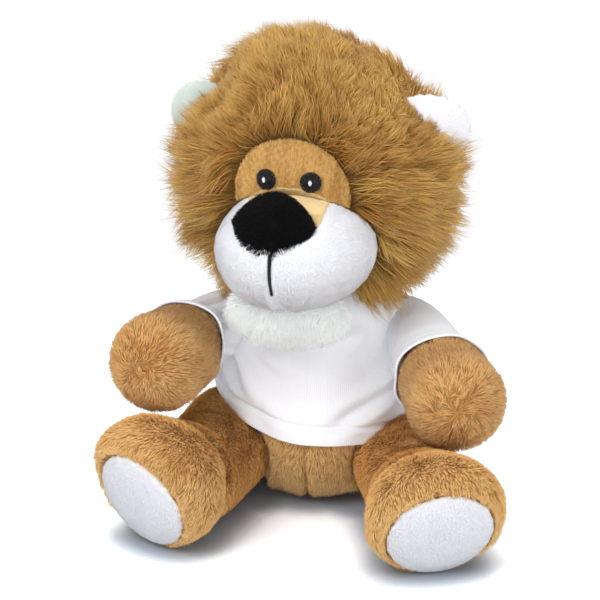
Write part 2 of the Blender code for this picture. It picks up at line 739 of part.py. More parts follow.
def make_eye(name):
    """A stitched disc with its glint, lying on the face panel's curve."""
    grow = FACE_CLOTH + GAP
    round_there = skull_radius_at(-EYE_DROP, grow)
    out = Vector((SIDES[name] * EYE_SPREAD, -math.sqrt(round_there**2 - EYE_SPREAD**2), 0)).normalized()
    base = out * (round_there + GAP) + UP * (HEAD_HEIGHT - EYE_DROP)
    turn = out.to_track_quat("Z", "Y").to_matrix().to_4x4()
    bm = egg((0, 0, 0), EYE_RADIUS, EYE_RADIUS, EYE_CROWN, EYE_CROWN, 1.0, 16, 8)
    trim(bm, Vector(), -UP)
    bmesh.ops.transform(bm, matrix=Matrix.Translation(base) @ turn, verts=bm.verts)
    finish(part(bm, f"eye_{name}", NECK), STITCH_BLACK)

    bm = egg((0, 0, 0), GLINT_WIDTH / 2, GLINT_TALL / 2, GLINT_CROWN, GLINT_CROWN, 1.0, 10, 6)
    trim(bm, Vector(), -UP)
    place = Matrix.Translation(base + out * (EYE_CROWN + GAP))
    bmesh.ops.transform(bm, matrix=place @ turn, verts=bm.verts)
    finish(part(bm, f"eye_glint_{name}", NECK), STITCH_WHITE)


def ear_turn(name):
    """The ear's frame: local Z points out of the head, local Y back."""
    rise = math.radians(EAR_RISE_DEGREES)
    return Matrix.Rotation(SIDES[name] * (math.pi / 2 - rise), 4, "Y")


def ear_space(name):
    """The slot that an ear needs in the mane to fold both ways."""
    reach = EAR_CENTRE_OUT + EAR_RADIUS
    half = EAR_HALF_THICK + GAP + reach * math.tan(math.radians(EAR_FOLD_DEGREES)) / 2
    radius = EAR_RADIUS + GAP + GAP
    bm = drum(Vector((0, 0, EAR_BASE_REACH + EAR_CENTRE_OUT)), Vector((0, 1, 0)), radius, half * 2)
    place = Matrix.Translation((0, EAR_BACK, HEAD_HEIGHT)) @ ear_turn(name)
    bmesh.ops.transform(bm, matrix=place, verts=bm.verts)
    return cutter(bm, f"ear_space_{name}", NECK)


EAR_SPACES = [ear_space(name) for name in SIDES]


def make_ear(name):
    """An ear of two sewn halves, cut flat at the head, in the frame of its fold."""
    turn = ear_turn(name)
    base = Vector((0, EAR_BACK, HEAD_HEIGHT)) + (turn @ Vector((0, 0, EAR_BASE_REACH)))
    fold = pivot(f"ear_root_{name}", base, NECK, turn.to_euler())
    centre = (0, 0, EAR_CENTRE_OUT)
    for half, way, colour in (("front", -1.0, WHITE_PILE), ("back", 1.0, TAN_PILE)):
        bm = egg(centre, EAR_RADIUS, EAR_HALF_THICK, EAR_RADIUS, EAR_RADIUS, 1.0, 18, 10)
        trim(bm, Vector(), -UP)
        trim(bm, Vector((0, way * GAP / 2, 0)), Vector((0, -way, 0)))
        finish(part(bm, f"ear_{name}_{half}", fold), colour)


make_torso()
make_bean_pouch()
make_shirt()
make_tail()
make_head()
make_mouth()
make_chin()
for each in SIDES:
    make_arm(each)
    make_leg(each)
    make_eye(each)
    make_ear(each)
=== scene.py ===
"""A seated plush lion in a T-shirt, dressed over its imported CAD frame.

Every soft form is a smooth skin taken from the frame's own solids. Pile of the real length grows on it
as strands, and the shirt is knitted cloth with its folds worked into the mesh.
"""

import json
import math

import bmesh
import bpy
import numpy as np
from bpy.props import FloatProperty, FloatVectorProperty, PointerProperty
from bpy.types import Operator, Panel, PropertyGroup
from mathutils import Matrix, Vector
from mathutils.bvhtree import BVHTree
from mathutils.kdtree import KDTree

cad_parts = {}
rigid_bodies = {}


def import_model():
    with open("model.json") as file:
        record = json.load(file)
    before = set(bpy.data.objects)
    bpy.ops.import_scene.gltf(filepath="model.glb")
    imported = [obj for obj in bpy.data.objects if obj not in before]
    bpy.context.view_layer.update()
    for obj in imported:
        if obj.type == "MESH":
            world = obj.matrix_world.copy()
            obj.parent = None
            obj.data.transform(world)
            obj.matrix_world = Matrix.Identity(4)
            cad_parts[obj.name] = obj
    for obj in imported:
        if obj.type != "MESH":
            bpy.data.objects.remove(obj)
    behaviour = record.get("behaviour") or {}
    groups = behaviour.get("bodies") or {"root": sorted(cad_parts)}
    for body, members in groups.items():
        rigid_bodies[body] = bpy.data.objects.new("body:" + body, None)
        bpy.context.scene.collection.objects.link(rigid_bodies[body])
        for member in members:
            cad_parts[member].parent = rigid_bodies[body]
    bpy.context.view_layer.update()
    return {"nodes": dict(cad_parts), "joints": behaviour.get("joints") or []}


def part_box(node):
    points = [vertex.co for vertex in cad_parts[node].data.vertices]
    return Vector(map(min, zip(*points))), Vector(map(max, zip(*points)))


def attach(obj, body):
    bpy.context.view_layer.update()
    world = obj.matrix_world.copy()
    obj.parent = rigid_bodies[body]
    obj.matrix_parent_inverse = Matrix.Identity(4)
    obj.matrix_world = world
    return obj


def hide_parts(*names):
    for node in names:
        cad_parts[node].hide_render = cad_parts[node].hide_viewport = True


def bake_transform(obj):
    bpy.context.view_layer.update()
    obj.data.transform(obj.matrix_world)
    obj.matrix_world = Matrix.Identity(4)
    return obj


bl_info = {
    "name": "Plush Lion",
    "version": (1, 0, 0),
    "blender": (4, 5, 0),
    "location": "View3D > Sidebar > Plush Lion",
    "description": "Pile, knit and thread for a seated plush lion",
    "category": "Object",
}

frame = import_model()

MM = 0.001
MOST_TRIANGLES = 185000
FLOOR_CLEAR = 0.0002
SIDES = {"left": 1.0, "right": -1.0}
UP = np.array((0.0, 0.0, 1.0))

JOINTS = {joint["name"]: joint for joint in frame["joints"]}
NECK = Vector(JOINTS["head_turn"]["pos_m"])
HEAD_TURN = math.radians(-8.5)
HEAD = Matrix.Translation(NECK) @ Matrix.Rotation(HEAD_TURN, 4, "Z")
SKULL_CENTRE = HEAD @ Vector((0, 0, 0.037))
FACE_WAY = np.array(HEAD.to_3x3() @ Vector((0, -1, 0)))
SIDE_WAY = np.array(HEAD.to_3x3() @ Vector((1, 0, 0)))
# Middles and half sizes of the face's opening and of the muzzle, in the head's frame
FACE_MIDDLE, FACE_HALF = np.array((0, -0.044, 0.033)), np.array((0.0215, 0.026, 0.02))
MUZZLE_MIDDLE, MUZZLE_HALF = np.array((0, -0.03, 0.0175)), np.array((0.0245, 0.026, 0.0175))
NOSE_MIDDLE = np.array((0, -0.0475, 0.0295))

# Where the seam up the front of the torso lies, to the side
SEAM = -0.0005
# How far each sleeve reaches down the arm, and how much further on its upper side
SLEEVE_ENDS = {"left": 0.0290, "right": 0.0235}
SLEEVE_TILTS = {"left": 0.0010, "right": 0.0025}
SLEEVE_START = 0.008

# What the tan pile of torso, legs and arms has in common, and the mane's two layers
TAN_PILE = {"lock": 12, "small_lock": 4, "gathered": 0.24, "stray": 0.22, "patchy": 0.6, "pits": 0.7}
LIMB_STAND = (0.95, 0.4)
MANE_PILE = {"uneven": (0.65, 1.0), "frizz": 0.06}


def srgb(red, green, blue):
    """A linear colour from one given in 8-bit screen values."""

    def linear(value):
        value /= 255.0
        return value / 12.92 if value <= 0.04045 else ((value + 0.055) / 1.055) ** 2.4

    return linear(red), linear(green), linear(blue)


# Sizes and colours


def length(name, description, default):
    return FloatProperty(name=name, description=description, default=default, unit="LENGTH", precision=5)


def tint(name, description, default):
    return FloatVectorProperty(name=name, description=description, default=default, subtype="COLOR", min=0, max=1)


class PileSizes(PropertyGroup):
    mane: length("Mane pile", "Length of the long hair round the head", 0.0205)
    mane_strand: length("Mane strand", "Thickness of a strand of the mane at its root", 0.00027)
    body: length("Body pile", "Length of the tan pile on body, arms and legs", 0.0036)
    body_strand: length("Body strand", "Thickness of a strand of the body pile at its root", 0.00024)
    velvet: length("Velvet pile", "Length of the short pile on muzzle, face and soles", 0.0007)
    velvet_strand: length("Velvet strand", "Thickness of a strand of the short pile", 0.00014)
    nose: length("Nose pile", "Length of the black pile on the nose", 0.0017)
    chin: length("Chin pile", "Length of the white tuft under the mouth", 0.0044)
    tuft: length("Tail tuft pile", "Length of the hair on the end of the tail", 0.009)


class CoatColours(PropertyGroup):
    mane_dark: tint("Mane, dark locks", "Colour of the darker locks", srgb(172, 114, 30))
    mane_light: tint("Mane, light locks", "Colour of the lighter locks", srgb(233, 189, 98))
    mane_tip: tint("Mane, tips", "Colour of the dusty tips of the hair", srgb(228, 192, 124))
    body_dark: tint("Body, dark pile", "Colour of the darker body pile", srgb(216, 154, 84))
    body_light: tint("Body, light pile", "Colour of the lighter body pile", srgb(253, 210, 140))
    face_dark: tint("Face, dark flecks", "Colour of the flecks in the face pile", srgb(186, 136, 68))
    face_light: tint("Face, light pile", "Colour of the light face pile", srgb(240, 198, 124))
    bridge: tint("Bridge", "Colour of the band over the nose", srgb(247, 220, 164))
    white: tint("White pile", "Colour of muzzle, soles and ears", srgb(252, 252, 255))
    chin: tint("Chin tuft", "Colour of the tuft under the mouth", srgb(250, 253, 251))
    minty: tint("Minty ear", "Colour of the inside of the right ear", srgb(226, 236, 229))
    black: tint("Black", "Colour of nose and thread", srgb(3, 3, 4))
    shirt: tint("Shirt", "Colour of the knitted shirt", srgb(239, 241, 246))


class ShirtSizes(PropertyGroup):
    ease: length("Ease", "Room between the body and the shirt", 0.0012)
    cloth: length("Cloth", "Thickness of the knit", 0.0008)
    hem: length("Hem", "Height of the turned hem", 0.0048)
    front: length("Front hem", "Height of the hem in the middle of the front", 0.0225)
    left: length("Left hem", "Height of the hem at the lion's left side", 0.0195)
    right: length("Right hem", "Height of the hem at the lion's right side", 0.033)
    back: length("Back hem", "Height of the hem behind", 0.027)


def sizes():
    return bpy.context.scene.plush_pile


def colours():
    return bpy.context.scene.plush_colours


# Small vector helpers


def unit(rows):
    return rows / np.maximum(np.linalg.norm(rows, axis=-1, keepdims=True), 1e-12)


def dots(a, b):
    return np.einsum("ij,ij->i", a, np.broadcast_to(b, a.shape))


def distance(points, centre):
    return np.linalg.norm(points - centre, axis=1)


def one_way(way, places):
    """The same direction at each place."""
    return np.tile(way, (len(places), 1))


def along_skin(ways, normals):
    """The part of each direction that lies in the skin, as a unit vector."""
    return unit(ways - normals * dots(ways, normals)[:, None])


def rise_between(low, high, values):
    """0 below low, 1 above high, smooth between them."""
    share = np.clip((values - low) / (high - low), 0.0, 1.0)
    return share * share * (3 - 2 * share)


def bell(values, middle, width):
    """1 at the middle, smoothly down to 0 some widths away."""
    return np.exp(-(((values - middle) / width) ** 2))


def within(points, middle, half):
    """Which points lie in the ellipsoid with this middle and these half sizes."""
    return (((points - middle) / half) ** 2).sum(axis=1) < 1.0


def ripple(points, wavelength, seed, waves=9):
    """Smooth random values from about -1 to 1 that change over this distance."""
    rng = np.random.default_rng(seed)
    total = np.zeros(len(points))
    for _ in range(waves):
        way = unit(rng.normal(size=3))
        total += np.sin(points @ way * (2 * np.pi / (wavelength * rng.uniform(0.6, 1.5))) + rng.uniform(0, 6.283))
    return total / math.sqrt(waves)


def ripples(points, wavelength, seed):
    """Smooth random directions."""
    return np.stack([ripple(points, wavelength, seed + k) for k in range(3)], axis=1)


def in_head(points):
    """The points in the head's own frame."""
    inverse = np.array(HEAD.inverted())
    return points @ inverse[:3, :3].T + inverse[:3, 3]


def hem_height(side, front):
    """Height of the shirt's hem, from the sine and the cosine (behind positive) of the turn round the body."""
    shirt = bpy.context.scene.plush_shirt
    lengthwise = np.where(front < 0, shirt.front, shirt.back) * front**2
    return lengthwise + np.where(side > 0, shirt.left, shirt.right) * side**2


def belly_shift(points):
    """The beans push the front of the belly forward near the floor."""
    forward = rise_between(0.0, -0.02, points[:, 1]) * rise_between(0.036, 0.012, points[:, 2])
    forward *= bell(points[:, 0], 0.006, 0.02)
    return np.outer(forward, np.array((0.0, -0.0042, 0.0)))


def arm_frame(name):
    """The shoulder, the way down the arm to its round end, and the arm's own level and upward directions."""
    shoulder = np.array(JOINTS[f"arm_{name}_swing"]["pos_m"])
    points = np.array([v.co for v in frame["nodes"][f"arm_{name}_stuffing"].data.vertices])
    far = points[distance(points, shoulder) > 0.034]
    way = unit((far.min(axis=0) + far.max(axis=0)) / 2 - shoulder)
    level = unit(np.cross(UP, way))
    return shoulder, way, level, np.cross(way, level)


# Meshes


def link(name, data):
    obj = bpy.data.objects.new(name, data)
    bpy.context.scene.collection.objects.link(obj)
    return obj


def shade_smooth(mesh):
    mesh.polygons.foreach_set("use_smooth", np.ones(len(mesh.polygons), bool))
    mesh.update()


def settle(obj):
    """Applies the modifiers of obj to its mesh."""
    bpy.context.view_layer.update()
    shaped = bpy.data.meshes.new_from_object(obj.evaluated_get(bpy.context.evaluated_depsgraph_get()))
    obj.modifiers.clear()
    obj.data = shaped
    shade_smooth(shaped)
    return obj


def modify(obj, kind, **values):
    modifier = obj.modifiers.new(kind.title(), kind)
    for key, value in values.items():
        setattr(modifier, key, value)


def skin_from(name, nodes, voxel, smoothing, sink):
    """One smooth skin round the solids of these nodes, sunk below them by the depth of the pile."""
    bm = bmesh.new()
    for node_name in nodes:
        bm.from_mesh(frame["nodes"][node_name].data)
    bmesh.ops.remove_doubles(bm, verts=bm.verts, dist=1e-6)
    mesh = bpy.data.meshes.new(name)
    bm.to_mesh(mesh)
    bm.free()
    obj = link(name, mesh)
    modify(obj, "REMESH", mode="VOXEL", voxel_size=voxel)
    modify(obj, "SMOOTH", factor=0.5, iterations=smoothing)
    modify(obj, "DISPLACE", strength=-sink, mid_level=0.0)
    return settle(obj)


def points_of(obj):
    co = np.empty(len(obj.data.vertices) * 3)
    obj.data.vertices.foreach_get("co", co)
    return co.reshape(-1, 3)


def normals_of(obj):
    normals = np.empty(len(obj.data.vertices) * 3)
    obj.data.vertex_normals.foreach_get("vector", normals)
    return normals.reshape(-1, 3)


def move_points(obj, points):
    """The mesh's points at these places, none of them below the floor."""
    points[:, 2] = np.maximum(points[:, 2], FLOOR_CLEAR)
    obj.data.vertices.foreach_set("co", np.ascontiguousarray(points, float).ravel())
    obj.data.update()


def dress(piece, material, body, replaced=()):
    """Gives a piece its material and its body, and hides the nodes that it stands for."""
    piece.data.materials.clear()
    piece.data.materials.append(material)
    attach(piece, body)
    if replaced:
        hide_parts(*replaced)


# Strands


def everywhere(places, normals):
    """The full share at each place."""
    return np.ones(len(places))


def evenly(places, normals):
    """No change at any place."""
    return np.zeros(len(places))


def scatter(obj, per_mm2, rng, keep):
    """Even random roots on obj: their places and smooth normals. keep gives each place's share from 0 to 1."""
    mesh = obj.data
    mesh.calc_loop_triangles()
    corners = np.empty(len(mesh.loop_triangles) * 3, int)
    mesh.loop_triangles.foreach_get("vertices", corners)
    corners = corners.reshape(-1, 3)
    co, normals = points_of(obj), normals_of(obj)
    a, b, c = co[corners[:, 0]], co[corners[:, 1]], co[corners[:, 2]]
    area = np.linalg.norm(np.cross(b - a, c - a), axis=1) / 2
    area = area * keep((a + b + c) / 3, unit(normals[corners[:, 0]]))
    density = per_mm2 * 1.0
    count = int(area.sum() * 1e6 * density)
    steps = (np.arange(count) + rng.random(count)) / count * area.sum()
    chosen = np.minimum(np.searchsorted(np.cumsum(area), steps), len(area) - 1)
    u, v = rng.random((2, count, 1))
    over = (u + v) > 1
    u, v = np.where(over, 1 - u, u), np.where(over, 1 - v, v)
    roots = a[chosen] + u * (b - a)[chosen] + v * (c - a)[chosen]
    na, nb, nc = (normals[corners[chosen, k]] for k in range(3))
    return roots, unit(na * (1 - u - v) + nb * u + nc * v)


def nearest(points, centres):
    tree = KDTree(len(centres))
    for i, centre in enumerate(centres):
        tree.insert(centre, i)
    tree.balance()
    return np.array([tree.find(p)[1] for p in points])


def strand_paths(roots, starts, ends, lengths, rings):
    """Curved paths that leave each root along its start direction and finish along its end direction."""
    paths = [roots]
    for share in (np.arange(rings) + 0.5) / rings:
        way = unit(starts * (1 - share) + ends * share)
        paths.append(paths[-1] + way * (lengths / rings)[:, None])
    return np.stack(paths, axis=1)


def gather(paths, guides, share, power):
    """Draws each strand towards its guide strand, more towards the tip."""
    t = np.linspace(0, 1, paths.shape[1])
    pull = (share * t**power)[None, :, None]
    return paths * (1 - pull) + paths[guides] * pull


def cut_to(paths, shares):
    """Each path, ended at this share of its length."""
    rings = paths.shape[1] - 1
    t = np.linspace(0, 1, rings + 1)[None, :] * shares[:, None] * rings
    low = np.minimum(t.astype(int), rings - 1)
    part = (t - low)[:, :, None]
    rows = np.arange(len(paths))[:, None]
    return paths[rows, low] * (1 - part) + paths[rows, low + 1] * part


def strand_mesh(name, paths, width, shades, rng, taper=0.75):
    """Three-sided tapered strands as one mesh. Its OFBake map holds the shade across and the height up."""
    count, rings = paths.shape[0], paths.shape[1] - 1
    tangents = np.gradient(paths, axis=1)
    tangents = unit(tangents.reshape(-1, 3)).reshape(paths.shape)
    helper = unit(rng.normal(size=(count, 3)))[:, None, :]
    side = np.cross(tangents, np.broadcast_to(helper, paths.shape))
    side = unit(side.reshape(-1, 3)).reshape(paths.shape)
    other = np.cross(side, tangents)
    t = np.linspace(0, 1, rings + 1)
    radius = width * 0.5 * (1 - taper * t**2)
    widths = rng.uniform(0.8, 1.2, count)
    verts = np.empty((count, rings * 3 + 1, 3), np.float32)
    for k in range(3):
        angle = 2 * np.pi * k / 3
        arm = math.cos(angle) * side[:, :rings] + math.sin(angle) * other[:, :rings]
        verts[:, k : rings * 3 : 3] = paths[:, :rings] + arm * (radius[None, :rings, None] * widths[:, None, None])
    verts[:, -1] = paths[:, -1]
    faces = []
    for ring in range(rings - 1):
        for k in range(3):
            a, b = ring * 3 + k, ring * 3 + (k + 1) % 3
            faces += [(a, b, b + 3), (a, b + 3, a + 3)]
    last = (rings - 1) * 3
    faces += [(last + k, last + (k + 1) % 3, rings * 3) for k in range(3)]
    size = rings * 3 + 1
    corners = (np.arange(count)[:, None, None] * size + np.array(faces)[None]).reshape(-1)
    across = np.array([[-0.006, 0.0, 0.006][k % 3] for k in range(rings * 3)] + [0.0])
    height = np.array([t[k // 3] for k in range(rings * 3)] + [1.0])
    u = np.clip(shades, 0.01, 0.99)[:, None] + across[None]
    v = np.broadcast_to(height[None], u.shape) * 0.98 + 0.01
    uv = np.stack((u, v), axis=-1).reshape(-1, 2)[corners]
    mesh = bpy.data.meshes.new(name)
    mesh.vertices.add(count * size)
    mesh.vertices.foreach_set("co", verts.ravel())
    mesh.loops.add(len(corners))
    mesh.loops.foreach_set("vertex_index", corners.astype(np.int32))
    mesh.polygons.add(len(corners) // 3)
    mesh.polygons.foreach_set("loop_start", np.arange(0, len(corners), 3, dtype=np.int32))
    layer = mesh.uv_layers.new(name="OFBake")
    layer.uv.foreach_set("vector", uv.astype(np.float32).ravel())
    mesh.update(calc_edges=True)
    shade_smooth(mesh)
    return link(name, mesh)


def pile(
    name, body, slot, skin, material, per_mm2, long, width, comb, seed, rings=2, keep=everywhere, grown=everywhere,
    flat=everywhere, shade=evenly, stand=(0.9, 0.35), fall=0.0, lock=0, small_lock=0, gathered=0.0, stray=0.12,
    uneven=(0.8, 1.0), frizz=0.0, wander=0.22, patchy=1.0, pits=0.0,
):
    """Grows pile on a skin and makes it ride on a body.

    Of each root's place and normal, comb gives its lie along the skin, keep whether it is there, grown its
    share of the full length, flat its share of the full stand, and shade how much lighter it is, in places
    painted light and shade. stand is how far the pile stands off the skin at its root and at its tip, lock and
    small_lock how many strands make a lock, uneven the least and greatest share of the full length, frizz how
    far a strand strays from its curve, wander how far the lie turns over the skin, patchy how much the locks
    differ in shade, and pits how much shorter the pile is where it parts, and how much painted shade darkens it there.
    """
    rng = np.random.default_rng(seed)
    roots, normals = scatter(skin, per_mm2, rng, keep)
    count = len(roots)
    lie = along_skin(comb(roots, normals), normals)
    drift = ripples(roots, 9 * MM, seed)
    lie = along_skin(lie + drift * wander + rng.normal(size=roots.shape) * stray, normals)
    parted = np.clip(ripple(roots, 2.6 * MM, seed + 7) - 0.45, 0, 1)
    lengths = float(long) * grown(roots, normals) * (1 - 0.5 * pits * parted)
    rise = flat(roots, normals)[:, None]
    starts = unit(normals * stand[0] * rise + lie + rng.normal(size=roots.shape) * stray * 0.5)
    ends = unit(normals * stand[1] * rise + lie - UP * fall + rng.normal(size=roots.shape) * stray * 0.5)
    paths = strand_paths(roots, starts, ends, lengths, rings)
    # Painted shade: the pile darker where it parts; the rest is the pile's own uneven tone
    shades = rng.normal(0.0, 0.13, count) + 0.12 * ripple(roots, 14 * MM, seed + 5) - pits * parted
    for strands, share, power, spread in ((small_lock, gathered * 0.8, 0.8, 0.1), (lock, gathered, 1.1, 0.14)):
        if strands:
            few = np.sort(rng.choice(count, max(2, int(count / strands)), replace=False))
            guides = few[nearest(roots, roots[few])]
            paths = gather(paths, guides, share, power)
            shades += patchy * rng.normal(0.0, spread, count)[guides]
    if frizz:
        t = np.linspace(0, 1, paths.shape[1])[None, :, None]
        bends = rng.normal(size=(count, 1, 3)) * lengths[:, None, None]
        paths = paths + frizz * bends * t * np.sin(t * 4.5 + rng.uniform(0, 6.28, (count, 1, 1)))
    paths = cut_to(paths, rng.uniform(*uneven, count))
    paths[:, :, 2] = np.maximum(paths[:, :, 2], FLOOR_CLEAR + width / 2)
    shades = 0.5 + shades + shade(roots, normals)
    parts = max(1, math.ceil(count / int(MOST_TRIANGLES / (6 * (rings - 1) + 3))))
    for k in range(parts):
        rows = slice(k * count // parts, (k + 1) * count // parts)
        piece = strand_mesh(f"{name}_{k + 1}" if parts > 1 else name, paths[rows], width, shades[rows], rng)
        dress(piece, material, body)


# Materials


def node(tree, kind, inputs=None, **values):
    """A shader node with these properties and these values at its inputs."""
    made = tree.nodes.new("ShaderNode" + kind)
    for key, value in values.items():
        setattr(made, key, value)
    for key, value in (inputs or {}).items():
        made.inputs[key].default_value = value
    return made


def wire(tree, *links):
    """Joins nodes: each link names a node, its output, the next node and its input."""
    for giver, output, taker, target in links:
        tree.links.new(giver.outputs[output], taker.inputs[target])


def mix_colour(tree, inputs=None, blend="MIX"):
    return node(tree, "Mix", inputs, data_type="RGBA", blend_type=blend, clamp_factor=True)


def smooth_range(tree, **inputs):
    """A smooth rise from one value to another, whose inputs are named like from_min."""
    named = {key.replace("_", " ").title(): value for key, value in inputs.items()}
    return node(tree, "MapRange", named, interpolation_type="SMOOTHSTEP")


def grey(value):
    return (value, value, value, 1)


def shared_group(name, inputs, outputs, fill_in):
    """The shader node group of this name. It is made and filled in when it is first asked for."""
    if name in bpy.data.node_groups:
        return bpy.data.node_groups[name]
    group = bpy.data.node_groups.new(name, "ShaderNodeTree")
    for label, default in inputs.items():
        kind = "NodeSocketColor" if isinstance(default, tuple) else "NodeSocketFloat"
        socket = group.interface.new_socket(name=label, in_out="INPUT", socket_type=kind)
        socket.default_value = default
    for label in outputs:
        kind = "NodeSocketColor" if label == "Colour" else "NodeSocketFloat"
        group.interface.new_socket(name=label, in_out="OUTPUT", socket_type=kind)
    fill_in(group, group.nodes.new("NodeGroupInput"), group.nodes.new("NodeGroupOutput"))
    return group


def pile_colour(group, start, end):
    """The colour of a strand from its shade and from its height: darker towards the root."""
    uv = node(group, "UVMap", uv_map="OFBake")
    split = node(group, "SeparateXYZ")
    shade = mix_colour(group)
    rising = smooth_range(group, from_min=-0.1, from_max=0.75, to_max=1.0)
    deepen = mix_colour(group, {"Factor": 1.0}, "MULTIPLY")
    near_tip = smooth_range(group, from_min=0.5, from_max=1.05)
    tipped = mix_colour(group)
    wire(
        group,
        (uv, "UV", split, 0),
        (split, "X", shade, "Factor"),
        (start, "Dark", shade, "A"),
        (start, "Light", shade, "B"),
        (split, "Y", rising, "Value"),
        (start, "Root shade", rising, "To Min"),
        (shade, "Result", deepen, "A"),
        (rising, "Result", deepen, "B"),
        (split, "Y", near_tip, "Value"),
        (start, "Tip share", near_tip, "To Max"),
        (near_tip, "Result", tipped, "Factor"),
        (deepen, "Result", tipped, "A"),
        (start, "Tip", tipped, "B"),
        (tipped, "Result", end, "Colour"),
    )


def mottled_nap(group, start, end):
    """Uneven colour and a fine nap on a skin, in the object's own space."""
    place = node(group, "TexCoord")
    patches, nap = node(group, "TexNoise"), node(group, "TexNoise")
    shade = mix_colour(group)
    wire(
        group,
        (place, "Object", patches, "Vector"),
        (place, "Object", nap, "Vector"),
        (start, "Patch scale", patches, "Scale"),
        (start, "Nap scale", nap, "Scale"),
        (patches, "Fac", shade, "Factor"),
        (start, "Dark", shade, "A"),
        (start, "Light", shade, "B"),
        (shade, "Result", end, "Colour"),
        (nap, "Fac", end, "Height"),
    )


def fine_knit(group, start, end):
    """Rows of knitted stitches over a map that is measured in metres."""
    uv = node(group, "UVMap", uv_map="Cloth")
    split = node(group, "SeparateXYZ")

    def maths(operation, first, second=None, value=None):
        made = node(group, "Math", operation=operation)
        group.links.new(first, made.inputs[0])
        if second is not None:
            group.links.new(second, made.inputs[1])
        elif value is not None:
            made.inputs[1].default_value = value
        return made.outputs[0]

    wire(group, (uv, "UV", split, 0))
    wales = maths("MULTIPLY", split.outputs["X"], start.outputs["Wales per metre"])
    courses = maths("MULTIPLY", split.outputs["Y"], start.outputs["Courses per metre"])
    ridge = maths("ABSOLUTE", maths("SINE", maths("MULTIPLY", wales, value=math.pi)))
    slant = maths("ADD", courses, maths("MULTIPLY", ridge, value=0.5))
    loops = maths("ABSOLUTE", maths("SINE", maths("MULTIPLY", slant, value=math.pi)))
    height = maths("MULTIPLY", ridge, maths("ADD", maths("MULTIPLY", loops, value=0.45), value=0.55))
    place = node(group, "TexCoord")
    fuzz = node(group, "TexNoise", {"Scale": 900.0})
    wire(group, (place, "Object", fuzz, "Vector"))
    fuzzed_height = maths("MULTIPLY", height, maths("ADD", maths("MULTIPLY", fuzz.outputs["Fac"], value=0.8), value=0.5))
    # Painted shade: the knit darkens from Light to Shade in the valleys between its stitches
    shade = mix_colour(group)
    group.links.new(fuzzed_height, shade.inputs["Factor"])
    group.links.new(fuzzed_height, end.inputs["Height"])
    wire(
        group,
        (start, "Shade", shade, "A"),
        (start, "Light", shade, "B"),
        (shade, "Result", end, "Colour"),
    )


def scaled(colour, share=1.0):
    return tuple(value * share for value in colour[:3]) + (1.0,)


def cloth_material(name, group, values, roughness, sheen, bump=None):
    """A material whose colour, and bump if it has one, come from a shared node group."""
    material = bpy.data.materials.new(name)
    material.use_nodes = True
    tree = material.node_tree
    shader = tree.nodes["Principled BSDF"]
    for key, value in (("Roughness", roughness), ("Specular IOR Level", 0.25), ("Sheen Weight", sheen)):
        shader.inputs[key].default_value = value
    effect = node(tree, "Group", values, node_tree=group)
    wire(tree, (effect, "Colour", shader, "Base Color"))
    if bump:
        relief = node(tree, "Bump", {"Distance": bump})
        wire(tree, (effect, "Height", relief, "Height"), (relief, "Normal", shader, "Normal"))
    return material


def pile_material(name, dark, light, root_shade=0.5, roughness=0.85, sheen=0.1, tip=None, tip_share=0.0):
    defaults = {"Dark": grey(0.1), "Light": grey(0.8), "Tip": grey(0.9), "Root shade": 0.5, "Tip share": 0.0}
    group = shared_group("Pile colour", defaults, ("Colour",), pile_colour)
    values = {
        "Dark": scaled(dark),
        "Light": scaled(light),
        "Tip": scaled(tip or light),
        "Root shade": root_shade,
        "Tip share": tip_share,
    }
    return cloth_material(name, group, values, roughness, sheen)


def skin_material(name, dark, light, patch_scale=140.0, nap_scale=2600.0, roughness=0.9):
    defaults = {"Dark": grey(0.1), "Light": grey(0.8), "Patch scale": 120.0, "Nap scale": 2500.0}
    group = shared_group("Mottled nap", defaults, ("Colour", "Height"), mottled_nap)
    values = {"Dark": scaled(dark), "Light": scaled(light), "Patch scale": patch_scale, "Nap scale": nap_scale}
    return cloth_material(name, group, values, roughness, 0.1, 0.0002)


def knit_material(name, light):
    # Shade is the knit's colour painted darker for the valleys between its stitches
    values = {"Light": scaled(light), "Shade": scaled(light, 0.9)}
    values |= {"Wales per metre": 1600.0, "Courses per metre": 1300.0}
    group = shared_group("Fine knit", values, ("Colour", "Height"), fine_knit)
    return cloth_material(name, group, values, 0.85, 0.15, 0.00007)


def look(name):
    """The shared material of this name, made when the first piece asks for it."""
    c = colours()
    makers = {
        "Tan body pile": lambda: pile_material(name, c.body_dark, c.body_light, 0.55),
        "Tan backing": lambda: skin_material(name, scaled(c.body_dark, 0.6), scaled(c.body_dark, 0.85)),
        "Mane hair": lambda: pile_material(
            name, c.mane_dark, c.mane_light, 0.42, 0.7, tip=c.mane_tip, tip_share=0.4
        ),
        "Mane backing": lambda: skin_material(name, scaled(c.mane_dark, 0.6), scaled(c.mane_dark, 0.9)),
        "White velvet pile": lambda: pile_material(name, scaled(c.white, 0.95), c.white, 0.96),
        "White backing": lambda: skin_material(name, scaled(c.white, 0.93), scaled(c.white, 0.98)),
        "Black backing": lambda: skin_material(name, scaled(c.black, 0.7), c.black),
        "White fine knit": lambda: knit_material(name, c.shirt),
    }
    return bpy.data.materials.get(name) or makers[name]()


# Pieces


class PieceOperator(Operator):
    """Shared ending of the piece operators."""

    bl_options = {"REGISTER", "UNDO"}

    def execute(self, context):
        self.make()
        return {"FINISHED"}


